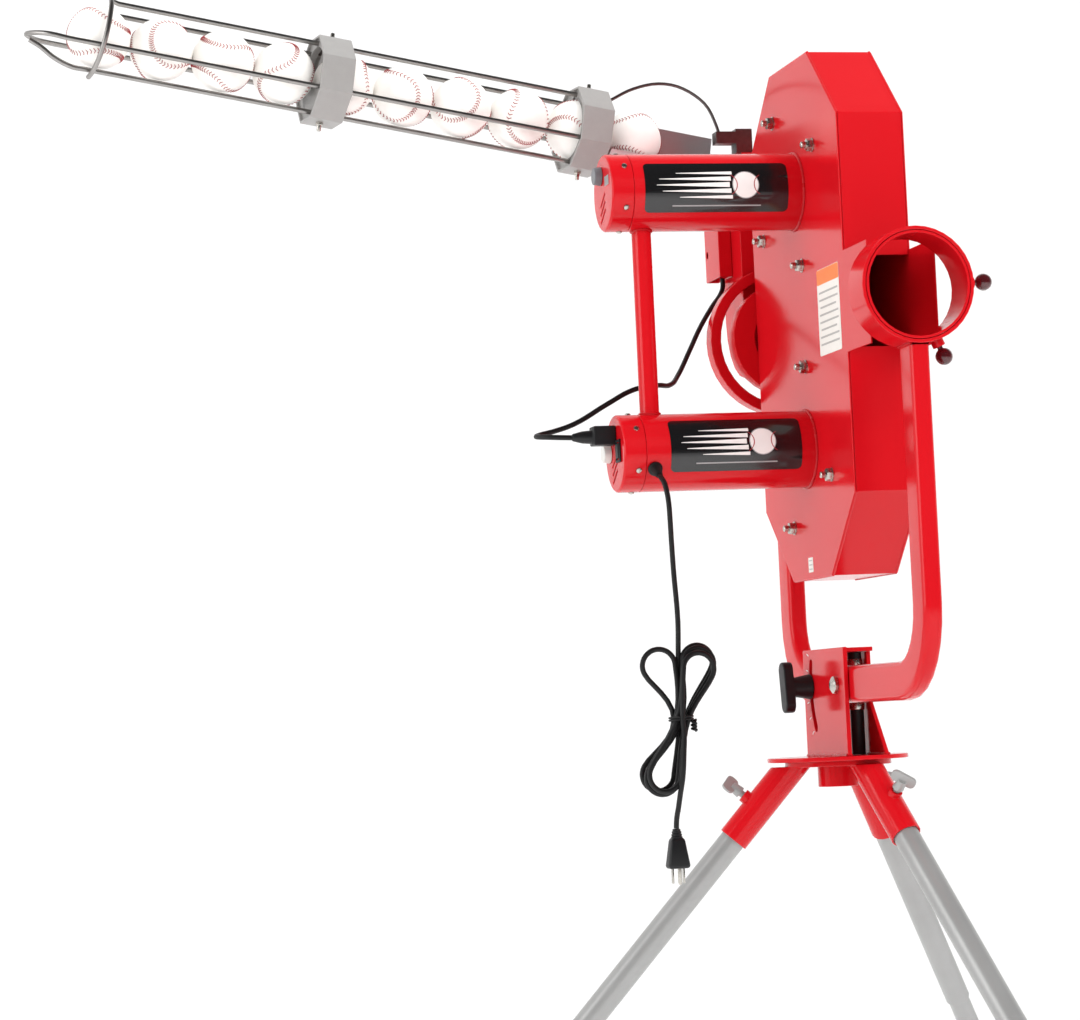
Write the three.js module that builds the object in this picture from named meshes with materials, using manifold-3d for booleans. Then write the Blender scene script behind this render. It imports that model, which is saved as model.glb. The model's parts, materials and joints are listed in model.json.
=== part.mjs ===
// Two-wheel baseball pitching machine on a tripod, with its sloping ball rack, feeder and cords.
// Millimetres, +Z up. The throw goes towards -Y; the motors and the ball rack stand out to -X.
import * as THREE from 'three';
import { mergeVertices } from 'three/addons/utils/BufferGeometryUtils.js';
import Module from 'manifold-3d';

const wasm = await Module();
wasm.setup();

// ---------------------------------------------------------------- driving dimensions
const GAP = 0.3;                       // air between two pieces that touch
const SHEET = 2;                       // housing sheet
const BALL_D = 74;

const WHEEL_D = 238;
const WHEEL_W = 54;
const WHEEL_BITE = 12;                 // how much the two tyres squeeze the ball
const WHEEL_SIDE_ROOM = 10.5;          // tyre to housing side
const HOUSING_MARGIN_Y = 47;           // tyre to housing, front and rear
const HOUSING_MARGIN_Z = 29;           // tyre to housing, top and bottom
const CHAMFER_Y = 96;
const CHAMFER_Z = 88;
const EAR_REACH = 80;                  // side plates' ears, forward of the housing
const EAR_HALF_H = 57;

const MOTOR_D = 89;
const MOTOR_LEN = 228;
const MOTOR_CAP_LEN = 26;
const MOTOR_WALL = 2.5;
const SHAFT_R = 8.5;
const ARMATURE_R = 34;
const BRACE_D = 22.5;
const BRACE_FROM_END = 43;             // brace axis to the motors' outer ends

const FRONT_RING_D = 127;
const FRONT_RING_WALL = 4;
const FRONT_RING_LEN = 50;
const BARREL_WALL = 3;
const REAR_RING_D = 182;
const REAR_RING_WALL = 13;
const REAR_RING_LEN = 22;
const DRUM_D = 138;
const DRUM_WALL = 3;
const DRUM_LEN = 21;
const RING_PLAY = 0.6;                 // running room of the head in both rings

const YOKE_W = 22;                     // yoke tube across X
const YOKE_H = 43;                     // yoke tube in its own plane
const YOKE_WALL = 2.5;
const YOKE_BEND_R = 81;
const YOKE_DROP = 423.5;               // throw axis to the middle of the yoke's bar

const PLATE = 5;                       // tower plates
const TOWER_TOP_ABOVE_PIVOT = 43;
const TOWER_FOOT_BELOW_PIVOT = 82;
const TOWER_FRONT_Y = -30;
const TOWER_REAR_Y = 122;
const FAR_PLATE_X = 31;
const FAR_PLATE_FRONT_Y = 29;
const GUSSET_REACH = 51;
const PIVOT_BOLT_R = 6;
const SLOT_R = 96;
const SLOT_HALF_W = 5.5;
const SLOT_UP = 16;                    // degrees above and below the knob at rest
const SLOT_DOWN = 30;
const POST_D = 16;
const POST_X = 20.5;
const POST_Y = 42;

const PAN_X = -4;
const PAN_Y = 48;
const SWIVEL_R = 82;
const SWIVEL_T = 5;
const HUB_R = 62;
const HUB_T = 6;
const KINGPIN_R = 10;
const SOCKET_D = 36;
const SOCKET_LEN = 110;
const SOCKET_FROM_AXIS = 54;
const LEG_D = 30;
const LEG_UPPER_LEN = 380;
const LEG_LOWER_D = 26;
const LEG_WALL = 1.8;
const LEG_OVERLAP = 110;
const LEG_PITCH = 48.7;                // degrees below level
const LEG_YAW = [167, 287, 47];
const FOOT_D = 36;
const PLATE_HEIGHT = 780;              // ground to the top of the swivel plate

const CHUTE_IN = 77;                   // inside width of the feed chute
const CHUTE_WALL = 1.5;
const CHUTE_BEHIND_RING = 3;
const CHUTE_TOP = 236;
const THROAT_R = CHUTE_IN / 2 + 2.5;
const ELBOW_R = 78;

const RACK_INTO_CHUTE = 33;            // the balls' centre line behind the chute's front
const RACK_START_Z = 224.2;
const RACK_YAW = 8;
const RACK_SLOPE = 9.1;
const WIRE_D = 6;
const CRADLE_R = 41;                   // bottom wire's centre, from the balls' centre line
const GUARD_R = 43;                    // top and side wires
const CLAMP_FLATS = 100;
const CLAMP_LEN = 40;
const CLAMP_WALL = 3;
const INNER_CLAMP_S = 238;             // along the rack from the chute
const OUTER_CLAMP_S = 567;
const TROUGH_R = 39;
const TROUGH_WALL = 2;
const RACK_TIP_S = 925;
const TOP_WIRE_S = 837;

const CORD_D = 6;
const CABLE_D = 4;

// sizes that follow from the ones above
const WHEEL_R = WHEEL_D / 2;
const WHEEL_Z = (WHEEL_D + BALL_D - WHEEL_BITE) / 2;
const HALF_T = WHEEL_W / 2 + WHEEL_SIDE_ROOM + SHEET;
const HALF_D = WHEEL_R + HOUSING_MARGIN_Y + SHEET;
const HALF_H = WHEEL_Z + WHEEL_R + HOUSING_MARGIN_Z + SHEET;
const EAR_Y = -HALF_D - EAR_REACH;
const MOTOR_R = MOTOR_D / 2;
const MOTOR_END_X = -HALF_T - MOTOR_LEN;
const FRONT_RING_Y = EAR_Y - 1 - FRONT_RING_LEN / 2;
const REAR_RING_Y = HALF_D + DRUM_LEN + 3 + REAR_RING_LEN / 2;
const CHUTE_FRONT_Y = REAR_RING_Y + REAR_RING_LEN / 2 + CHUTE_BEHIND_RING;
const RACK_START = [0, CHUTE_FRONT_Y + RACK_INTO_CHUTE, RACK_START_Z];
const PIVOT_Z = -YOKE_DROP;
const TOWER_FOOT_Z = PIVOT_Z - TOWER_FOOT_BELOW_PIVOT;
const NEAR_PLATE_X = -YOKE_W / 2 - 1 - PLATE;
const HUB_TOP_Z = TOWER_FOOT_Z - SWIVEL_T - GAP;
const GROUND_Z = TOWER_FOOT_Z - PLATE_HEIGHT;

// ---------------------------------------------------------------- materials
const finish = (color, roughness, metalness) =>
  new THREE.MeshStandardMaterial({ color, roughness, metalness });
const redPaint = () => finish('#c8202a', 0.3, 0.1);
const greyPaint = () => finish('#8f8c8a', 0.45, 0.3);
const steel = () => finish('#c4c6c8', 0.3, 0.9);
const blackPlastic = () => finish('#1b1b1d', 0.55, 0);
const blackRubber = () => finish('#161617', 0.8, 0);
const darkRedPlastic = () => finish('#5e0f16', 0.25, 0);
const whitePlastic = () => finish('#d9d9d6', 0.5, 0);

// ---------------------------------------------------------------- geometry helpers
const rad = THREE.MathUtils.degToRad;
const vec = (x, y, z) => new THREE.Vector3(x, y, z);

/** Merge shared vertices, drop slivers and turn the faces outwards. */
function closed(geometry) {
  let g = geometry.clone();
  g.deleteAttribute('normal');
  g.deleteAttribute('uv');
  g = mergeVertices(g, 1e-4);
  const p = g.getAttribute('position');
  const index = [];
  let volume = 0;
  const corner = [vec(0, 0, 0), vec(0, 0, 0), vec(0, 0, 0)];
  for (let i = 0; i < g.index.count; i += 3) {
    const t = [g.index.getX(i), g.index.getX(i + 1), g.index.getX(i + 2)];
    if (t[0] === t[1] || t[1] === t[2] || t[2] === t[0]) continue;
    index.push(...t);
    corner.forEach((c, k) => c.fromBufferAttribute(p, t[k]));
    volume += corner[0].dot(corner[1].clone().cross(corner[2]));
  }
  if (volume < 0) index.reverse();
  g.setIndex(index);
  return g;
}

/** A closed geometry as a solid that can be cut and joined. */
function solid(geometry) {
  const g = closed(geometry);
  return new wasm.Manifold(new wasm.Mesh({
    numProp: 3,
    vertProperties: new Float32Array(g.getAttribute('position').array),
    triVerts: new Uint32Array(g.index.array),
  }));
}

/** A solid back as a geometry. */
function geometryOf(body) {
  const mesh = body.getMesh();
  const g = new THREE.BufferGeometry();
  g.setAttribute('position', new THREE.BufferAttribute(mesh.vertProperties, 3));
  g.setIndex(new THREE.BufferAttribute(mesh.triVerts, 1));
  return g;
}

const cut = (base, ...tools) => geometryOf(tools.reduce((b, t) => b.subtract(solid(t)), solid(base)));
const join = (...parts) => geometryOf(parts.map(solid).reduce((a, b) => a.add(b)));

/** A box between two corners. */
function block(x0, x1, y0, y1, z0, z1) {
  return new THREE.BoxGeometry(x1 - x0, y1 - y0, z1 - z0)
    .translate((x0 + x1) / 2, (y0 + y1) / 2, (z0 + z1) / 2);
}

/** Turn a shape made along +Y (three.js's lathe axis) to lie along a direction, from a point. */
function aim(geometry, from, direction) {
  const turn = new THREE.Quaternion().setFromUnitVectors(vec(0, 1, 0), direction.clone().normalize());
  return geometry.applyQuaternion(turn).translate(from.x, from.y, from.z);
}

const AXIS = { x: vec(1, 0, 0), y: vec(0, 1, 0), z: vec(0, 0, 1) };

/** A plain rod of radius r from a point, along a direction. */
const rod = (r, length, from, direction, sides = 24) =>
  aim(new THREE.CylinderGeometry(r, r, length, sides).translate(0, length / 2, 0), from, direction);

/** A turned piece: profile is [radius, distance along the axis] pairs. */
const turned = (profile, from, direction, sides = 32) =>
  aim(new THREE.LatheGeometry(profile.map(([r, d]) => new THREE.Vector2(r, d)), sides), from, direction);

/** A round tube open at both ends. */
const pipe = (outer, inner, length, from, direction, sides = 32) =>
  turned([[inner, 0], [outer, 0], [outer, length], [inner, length], [inner, 0]], from, direction, sides);

/** A flat outline of [y, z] points, given a thickness from x0 to x1. */
function plateYZ(points, x0, x1, holes = []) {
  const outline = new THREE.Shape(points.map(([y, z]) => new THREE.Vector2(y, z)));
  outline.holes = holes;
  const g = new THREE.ExtrudeGeometry(outline, { depth: x1 - x0, bevelEnabled: false, curveSegments: 12 });
  // the outline's own x, y and depth become Y, Z and X
  return g.applyMatrix4(new THREE.Matrix4().set(0, 0, 1, x0, 1, 0, 0, 0, 0, 1, 0, 0, 0, 0, 0, 1));
}

const roundHole = (y, z, r) => new THREE.Path().absarc(y, z, r, 0, Math.PI * 2);

/** A path that an extrusion follows exactly, section by section. */
class Route extends THREE.Curve {
  constructor(points) {
    super();
    this.points = points;
    this.steps = points.length - 1;
  }
  getPoint(t) { return this.points[Math.round(t * this.steps)].clone(); }
  getPointAt(u) { return this.getPoint(u); }
  getTangentAt(u) {
    const i = Math.round(u * this.steps);
    const after = this.points[Math.min(i + 1, this.steps)];
    return after.clone().sub(this.points[Math.max(i - 1, 0)]).normalize();
  }
}

/** Corners joined by straight runs, with each inner corner rounded to a radius. */
function filleted(corners, radius, arcSteps) {
  const points = [corners[0]];
  for (let i = 1; i < corners.length - 1; i += 1) {
    const into = corners[i].clone().sub(corners[i - 1]).normalize();
    const out = corners[i + 1].clone().sub(corners[i]).normalize();
    const angle = into.angleTo(out);
    const back = radius * Math.tan(angle / 2);
    const start = corners[i].clone().addScaledVector(into, -back);
    const inward = out.clone().addScaledVector(into, -out.dot(into)).normalize();
    const centre = start.clone().addScaledVector(inward, radius);
    for (let k = 0; k <= arcSteps; k += 1) {
      const a = (angle * k) / arcSteps;
      points.push(centre.clone().addScaledVector(inward, -radius * Math.cos(a))
        .addScaledVector(into, radius * Math.sin(a)));
    }
  }
  points.push(corners[corners.length - 1]);
  return points;
}

/** A section swept along a list of points. */
const swept = (section, points) => new THREE.ExtrudeGeometry(section, {
  steps: points.length - 1, extrudePath: new Route(points), bevelEnabled: false, curveSegments: 2,
});

/** A round section with a given number of sides. */
function roundSection(r, sides) {
  const corners = Array.from({ length: sides }, (_, i) => (i * 2 * Math.PI) / sides);
  return new THREE.Shape(corners.map((a) => new THREE.Vector2(r * Math.cos(a), r * Math.sin(a))));
}

/** A round wire or cord through hand-chosen points, smoothed, with a set number of steps. */
const cordAlong = (points, diameter, steps, sides = 8) => swept(
  roundSection(diameter / 2, sides),
  new THREE.CatmullRomCurve3(points.map((p) => vec(...p)), false, 'centripetal').getSpacedPoints(steps),
);

/** A rounded rectangle, centred. */
function roundedRect(width, height, r, path = new THREE.Shape()) {
  const w = width / 2;
  const h = height / 2;
  path.moveTo(-w + r, -h).lineTo(w - r, -h).absarc(w - r, -h + r, r, -Math.PI / 2, 0);
  path.lineTo(w, h - r).absarc(w - r, h - r, r, 0, Math.PI / 2);
  path.lineTo(-w + r, h).absarc(-w + r, h - r, r, Math.PI / 2, Math.PI);
  path.lineTo(-w, -h + r).absarc(-w + r, -h + r, r, Math.PI, Math.PI * 1.5);
  return path;
}

const machine = new THREE.Group();

/** Add one named piece. */
function part(name, geometry, material, parent = machine) {
  const mesh = new THREE.Mesh(closed(geometry), material);
  mesh.name = name;
  parent.add(mesh);
}

// ---------------------------------------------------------------- wheel housing
/** Corners of the housing's long octagon, drawn in by a wall. */
function octagon(inset) {
  const lean = Math.hypot(CHAMFER_Y, CHAMFER_Z);
  const cutY = CHAMFER_Y - inset * (CHAMFER_Y + CHAMFER_Z - lean) / CHAMFER_Z;
  const cutZ = CHAMFER_Z - inset * (CHAMFER_Y + CHAMFER_Z - lean) / CHAMFER_Y;
  const y = HALF_D - inset;
  const z = HALF_H - inset;
  return [[-y + cutY, z], [-y, z - cutZ], [-y, -z + cutZ], [-y + cutY, -z],
    [y - cutY, -z], [y, -z + cutZ], [y, z - cutZ], [y - cutY, z]];
}

/** One side of the housing, with the ear that reaches forward to the barrel. */
function sideCover(x0, x1, holes) {
  const [a, b, c, ...rest] = octagon(0);
  const ear = [[-HALF_D, EAR_HALF_H], [EAR_Y, EAR_HALF_H], [EAR_Y, -EAR_HALF_H], [-HALF_D, -EAR_HALF_H]];
  return plateYZ([a, b, ...ear, c, ...rest], x0, x1, holes);
}

function housing() {
  const shaftHoles = [WHEEL_Z, -WHEEL_Z].map((z) => roundHole(0, z, SHAFT_R + 4));
  part('housing_left_cover', sideCover(-HALF_T, -HALF_T + SHEET, shaftHoles), redPaint());
  part('housing_right_cover', sideCover(HALF_T - SHEET, HALF_T, []), redPaint());
  const inner = new THREE.Path(octagon(SHEET).map(([y, z]) => new THREE.Vector2(y, z)));
  const reach = HALF_T - SHEET - GAP;
  const mouth = block(-reach - 1, reach + 1, -HALF_D - 5, -HALF_D + 20, -EAR_HALF_H + 6, EAR_HALF_H - 6);
  const entry = rod(THROAT_R + CHUTE_WALL + 1, 30, vec(0, HALF_D - 15, 0), AXIS.y, 32);
  // mouth and entry are as wide as the band, so they part it into an upper and a lower wrap
  const band = solid(cut(plateYZ(octagon(0), -reach, reach, [inner]), mouth, entry));
  const height = (body) => body.boundingBox().max[2];
  const [upper, lower] = band.decompose().sort((p, q) => height(q) - height(p));
  part('housing_upper_wrap', geometryOf(upper), redPaint());
  part('housing_lower_wrap', geometryOf(lower), redPaint());
}

function barrelAndDrum() {
  const outer = FRONT_RING_D / 2 - FRONT_RING_WALL - RING_PLAY;
  part('barrel_tube', pipe(outer, outer - BARREL_WALL, FRONT_RING_LEN + 1 - GAP,
    vec(0, EAR_Y - GAP, 0), AXIS.y.clone().negate(), 36), redPaint());
  const r = DRUM_D / 2;
  const from = HALF_D + GAP;
  const drum = pipe(r, THROAT_R + CHUTE_WALL + GAP, DRUM_LEN, vec(0, from, 0), AXIS.y, 30);
  const hollow = pipe(r - DRUM_WALL, THROAT_R + 2 * CHUTE_WALL + GAP, DRUM_LEN,
    vec(0, from + 4, 0), AXIS.y, 30);
  // three shoes run inside the rear ring
  const shoeR = REAR_RING_D / 2 - REAR_RING_WALL - RING_PLAY;
  const shoes = [95, 345, 285].map((a) => {
    const shoe = block(r - DRUM_WALL, shoeR, from + 6, REAR_RING_Y + REAR_RING_LEN / 2, -7, 7);
    return shoe.rotateY(-rad(a));
  });
  const body = shoes.map(solid).reduce((b, s) => b.add(s), solid(drum).subtract(solid(hollow)));
  part('rear_drum', geometryOf(body), redPaint());
}

// ---------------------------------------------------------------- motors and wheels
/** The wheel's hub, its shaft and the motor's armature turn as one piece. */
function drive(name, z) {
  const hubR = WHEEL_R - 44;
  const end = HALF_T - SHEET - 3;
  const rim = WHEEL_W / 2 - 4;
  const a0 = -HALF_T - 34;
  const a1 = MOTOR_END_X + MOTOR_CAP_LEN + 16;
  const shaftEnd = MOTOR_END_X + 10;
  const stations = [[0, shaftEnd], [SHAFT_R, shaftEnd], [SHAFT_R, a1], [ARMATURE_R, a1], [ARMATURE_R, a0],
    [SHAFT_R, a0], [SHAFT_R, -18], [26, -18], [26, -8], [hubR - 12, -8], [hubR - 12, -rim], [hubR, -rim],
    [hubR, rim], [hubR - 12, rim], [hubR - 12, 8], [26, 8], [26, 18], [SHAFT_R, 18], [SHAFT_R, end], [0, end]];
  part(`${name}_wheel_drive`, turned(stations, vec(0, 0, z), AXIS.x, 32), steel());
  const w = WHEEL_W / 2;
  const tyre = [[hubR + GAP, -w + 3], [hubR + 8, -w], [WHEEL_R - 8, -w], [WHEEL_R - 1, -w + 6], [WHEEL_R - 3, 0],
    [WHEEL_R - 1, w - 6], [WHEEL_R - 8, w], [hubR + 8, w], [hubR + GAP, w - 3], [hubR + GAP, -w + 3]];
  part(`${name}_tyre`, turned(tyre, vec(0, 0, z), AXIS.x, 32), blackRubber());
}

/** The slanted cooling slots in a motor's end cap. */
function louvres(z) {
  return [-8, -17, -26].map((drop) =>
    block(-20, 20, -13, 13, -1.6, 1.6).rotateX(rad(-32)).translate(MOTOR_END_X, 3, z + drop));
}

function motor(name, z, capOpenings) {
  const seam = MOTOR_END_X + MOTOR_CAP_LEN;
  part(`${name}_motor_can`, pipe(MOTOR_R, MOTOR_R - MOTOR_WALL, -HALF_T - GAP - seam - GAP,
    vec(seam + GAP, 0, z), AXIS.x, 32), redPaint());
  const cap = turned([[0, 0], [MOTOR_R - 2, 0], [MOTOR_R, 2], [MOTOR_R, MOTOR_CAP_LEN],
    [MOTOR_R - MOTOR_WALL, MOTOR_CAP_LEN], [MOTOR_R - MOTOR_WALL, 3], [0, 3]], vec(MOTOR_END_X, 0, z), AXIS.x, 32);
  part(`${name}_motor_cap`, cut(cap, ...louvres(z), ...capOpenings), redPaint());
}

// places on the end caps, from each motor's axis: [y, z]
const UPPER_DIAL = [7, 21];
const LOWER_DIAL = [22, 2];
const POWER_SWITCH = [-19, 2];
const FEEDER_OUTLET = [0, 20];
const DIAL_R = 11;
const STEM_R = 3;

/** A speed dial on a short stem that goes through the cap. */
function speedDial(name, z, [y, up]) {
  const from = vec(MOTOR_END_X + 8, y, z + up);
  part(name, turned([[0, 0], [STEM_R, 0], [STEM_R, 8 + GAP], [DIAL_R, 8 + GAP], [DIAL_R - 1, 17], [0, 17]],
    from, AXIS.x.clone().negate(), 16), name.startsWith('upper') ? greyPaint() : whitePlastic());
}

function motors() {
  const stemHole = ([y, up], z) => rod(STEM_R + GAP, 20, vec(MOTOR_END_X - 10, y, z + up), AXIS.x, 16);
  const [sy, sz] = POWER_SWITCH;
  const switchHole = block(MOTOR_END_X - 5, MOTOR_END_X + 9, sy - 6.5, sy + 6.5, -WHEEL_Z + sz - 9.5, -WHEEL_Z + sz + 9.5);
  motor('upper', WHEEL_Z, [stemHole(UPPER_DIAL, WHEEL_Z)]);
  motor('lower', -WHEEL_Z, [stemHole(LOWER_DIAL, -WHEEL_Z), switchHole]);
  speedDial('upper_speed_dial', WHEEL_Z, UPPER_DIAL);
  speedDial('lower_speed_dial', -WHEEL_Z, LOWER_DIAL);
  part('power_switch', block(MOTOR_END_X - 3, MOTOR_END_X + 7, sy - 5.5, sy + 5.5,
    -WHEEL_Z + sz - 8.5, -WHEEL_Z + sz + 8.5), blackPlastic());
  const braceX = MOTOR_END_X + BRACE_FROM_END;
  const brace = pipe(BRACE_D / 2, BRACE_D / 2 - 2, 2 * WHEEL_Z, vec(braceX, 0, -WHEEL_Z), AXIS.z, 24);
  const cans = [WHEEL_Z, -WHEEL_Z].map((z) => rod(MOTOR_R + GAP, 120, vec(braceX - 60, 0, z), AXIS.x, 32));
  part('motor_brace_tube', cut(brace, ...cans), redPaint());
}

// ---------------------------------------------------------------- yoke
function yoke() {
  const topFront = -FRONT_RING_D / 2 - 1;
  const topRear = -REAR_RING_D / 2 - 1;
  const spine = filleted([vec(0, FRONT_RING_Y, topFront), vec(0, FRONT_RING_Y, PIVOT_Z),
    vec(0, REAR_RING_Y, PIVOT_Z), vec(0, REAR_RING_Y, topRear)], YOKE_BEND_R, 7);
  const section = roundedRect(YOKE_H, YOKE_W, 7);
  section.holes = [roundedRect(YOKE_H - 2 * YOKE_WALL, YOKE_W - 2 * YOKE_WALL, 5, new THREE.Path())];
  const tube = swept(section, spine);
  const pivotHole = rod(PIVOT_BOLT_R + 0.2, 60, vec(-30, 0, PIVOT_Z), AXIS.x, 20);
  const knobHole = rod(SLOT_HALF_W - 0.3, 60, vec(-30, SLOT_R, PIVOT_Z), AXIS.x, 20);
  part('yoke_frame', cut(tube, pivotHole, knobHole), redPaint());
  const front = pipe(FRONT_RING_D / 2, FRONT_RING_D / 2 - FRONT_RING_WALL, FRONT_RING_LEN,
    vec(0, FRONT_RING_Y - FRONT_RING_LEN / 2, 0), AXIS.y, 36);
  const bosses = LOCK_KNOBS.map(({ boss }) => boss);
  const ringBore = rod(FRONT_RING_D / 2 - FRONT_RING_WALL, 80, vec(0, FRONT_RING_Y - 40, 0), AXIS.y, 36);
  const bores = LOCK_KNOBS.map(({ bore }) => bore);
  part('front_ring', cut(join(front, ...bosses), ringBore, ...bores), redPaint());
  part('rear_ring', pipe(REAR_RING_D / 2, REAR_RING_D / 2 - REAR_RING_WALL, REAR_RING_LEN,
    vec(0, REAR_RING_Y - REAR_RING_LEN / 2, 0), AXIS.y, 40), redPaint());
}

/** Ball-headed screws in bosses on the front ring, which lock the head's roll. */
const LOCK_KNOB_ANGLES = [3, -66];     // degrees round the ring, seen from the front
const LOCK_BOSS_R = 7;
const LOCK_SCREW_R = 3;
const LOCK_BALL_R = 9.5;
const LOCK_KNOBS = LOCK_KNOB_ANGLES.map((angle) => {
  const out = vec(Math.cos(rad(angle)), 0, Math.sin(rad(angle)));
  const at = (r) => vec(0, FRONT_RING_Y, 0).addScaledVector(out, r);
  const wall = FRONT_RING_D / 2;
  return {
    out,
    boss: rod(LOCK_BOSS_R, 10, at(wall - 2), out, 12),
    bore: rod(LOCK_SCREW_R + GAP, 40, at(wall - 12), out, 10),
    screw: at(wall - FRONT_RING_WALL + 0.2),
  };
});

function lockKnobs() {
  const stem = FRONT_RING_WALL + 10;
  LOCK_KNOBS.forEach(({ out, screw }, i) => {
    const ball = [[0, 0], [LOCK_SCREW_R, 0], [LOCK_SCREW_R, stem]];
    for (let a = -70; a < 90; a += 20) {
      ball.push([LOCK_BALL_R * Math.cos(rad(a)), stem + LOCK_BALL_R * (1 + Math.sin(rad(a)))]);
    }
    ball.push([0, stem + 2 * LOCK_BALL_R]);
    part(`ring_lock_knob_${i + 1}`, turned(ball, screw, out, 12), darkRedPlastic());
  });
}

// ---------------------------------------------------------------- tower
/** The curved slot that the tilt knob's bolt slides in, as a path round the pivot. */
function arcSlot() {
  const path = new THREE.Path();
  const end = (a, r) => [r * Math.cos(rad(a)), PIVOT_Z + r * Math.sin(rad(a))];
  path.moveTo(...end(-SLOT_DOWN, SLOT_R - SLOT_HALF_W));
  path.absarc(0, PIVOT_Z, SLOT_R - SLOT_HALF_W, rad(-SLOT_DOWN), rad(SLOT_UP), false);
  path.absarc(...end(SLOT_UP, SLOT_R), SLOT_HALF_W, rad(SLOT_UP + 180), rad(SLOT_UP), true);
  path.absarc(0, PIVOT_Z, SLOT_R + SLOT_HALF_W, rad(SLOT_UP), rad(-SLOT_DOWN), true);
  path.absarc(...end(-SLOT_DOWN, SLOT_R), SLOT_HALF_W, rad(-SLOT_DOWN), rad(-SLOT_DOWN - 180), true);
  return path;
}

function tower() {
  const top = PIVOT_Z + TOWER_TOP_ABOVE_PIVOT;
  const foot = TOWER_FOOT_Z + GAP;
  const pivotHole = () => roundHole(0, PIVOT_Z, PIVOT_BOLT_R + GAP);
  part('tower_left_plate', plateYZ([[TOWER_FRONT_Y, top], [TOWER_FRONT_Y, foot], [TOWER_REAR_Y, foot],
    [TOWER_REAR_Y, top]], NEAR_PLATE_X, NEAR_PLATE_X + PLATE, [pivotHole(), arcSlot()]), redPaint());
  const lobe = 20;
  const f = FAR_PLATE_FRONT_Y;
  const farTop = top - 1;
  const far = plateYZ([[f, farTop], [f, PIVOT_Z + lobe], [-8, PIVOT_Z + lobe], [-lobe, PIVOT_Z + 8],
    [-lobe, PIVOT_Z - 8], [-8, PIVOT_Z - lobe], [f, PIVOT_Z - lobe], [f - GUSSET_REACH, foot],
    [TOWER_REAR_Y, foot], [TOWER_REAR_Y, farTop]], FAR_PLATE_X, FAR_PLATE_X + PLATE, [pivotHole()]);
  const strap = block(NEAR_PLATE_X + PLATE + GAP, FAR_PLATE_X + PLATE, POST_Y - 22, POST_Y + 22, top - PLATE, top);
  part('tower_right_plate', join(far, strap), redPaint());
  part('tower_post', rod(POST_D / 2, top - PLATE - foot - GAP, vec(POST_X, POST_Y, foot), AXIS.z, 24),
    blackPlastic());
  part('swivel_plate', turned([[KINGPIN_R + GAP, 0], [SWIVEL_R, 0], [SWIVEL_R, SWIVEL_T],
    [KINGPIN_R + GAP, SWIVEL_T], [KINGPIN_R + GAP, 0]], vec(PAN_X, PAN_Y, TOWER_FOOT_Z - SWIVEL_T), AXIS.z, 36),
  redPaint());
}

function tiltHardware() {
  const r = PIVOT_BOLT_R;
  const left = NEAR_PLATE_X - GAP;
  const right = FAR_PLATE_X + PLATE + GAP;
  part('tilt_pivot_bolt', turned([[0, left - 7], [5, left - 7], [10, left - 4], [10, left], [r, left], [r, right],
    [11, right], [11, right + 8], [0, right + 8]], vec(0, 0, PIVOT_Z), AXIS.x, 24), steel());
  const stemR = SLOT_HALF_W - 0.6;
  const hub = turned([[0, -8], [stemR, -8], [stemR, NEAR_PLATE_X * -1 + GAP], [15, NEAR_PLATE_X * -1 + GAP],
    [11, NEAR_PLATE_X * -1 + 24], [0, NEAR_PLATE_X * -1 + 24]], vec(0, SLOT_R, PIVOT_Z), AXIS.x.clone().negate(), 24);
  const section = { depth: 12, bevelEnabled: false, curveSegments: 5 };
  const grip = new THREE.ExtrudeGeometry(roundedRect(22, 60, 10), section)
    .rotateY(Math.PI / 2).rotateX(rad(82)).translate(NEAR_PLATE_X - 35, SLOT_R, PIVOT_Z);
  part('tilt_lock_knob', join(hub, grip), blackPlastic());
}

// ---------------------------------------------------------------- tripod
/** Where a leg's axis starts under the hub, which way it runs, and which way is up from it. */
function legFrame(yaw) {
  const flat = vec(Math.cos(rad(yaw)), Math.sin(rad(yaw)), 0);
  const down = flat.clone().multiplyScalar(Math.cos(rad(LEG_PITCH))).setZ(-Math.sin(rad(LEG_PITCH)));
  const up = flat.clone().multiplyScalar(Math.sin(rad(LEG_PITCH))).setZ(Math.cos(rad(LEG_PITCH)));
  const start = vec(PAN_X, PAN_Y, HUB_TOP_Z - HUB_T + 2).addScaledVector(flat, SOCKET_FROM_AXIS);
  return { start, down, up, at: (d) => start.clone().addScaledVector(down, d) };
}

const BOLT_D = 62;                     // wing bolt, along the socket
const BOLT_R = 4;

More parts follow.
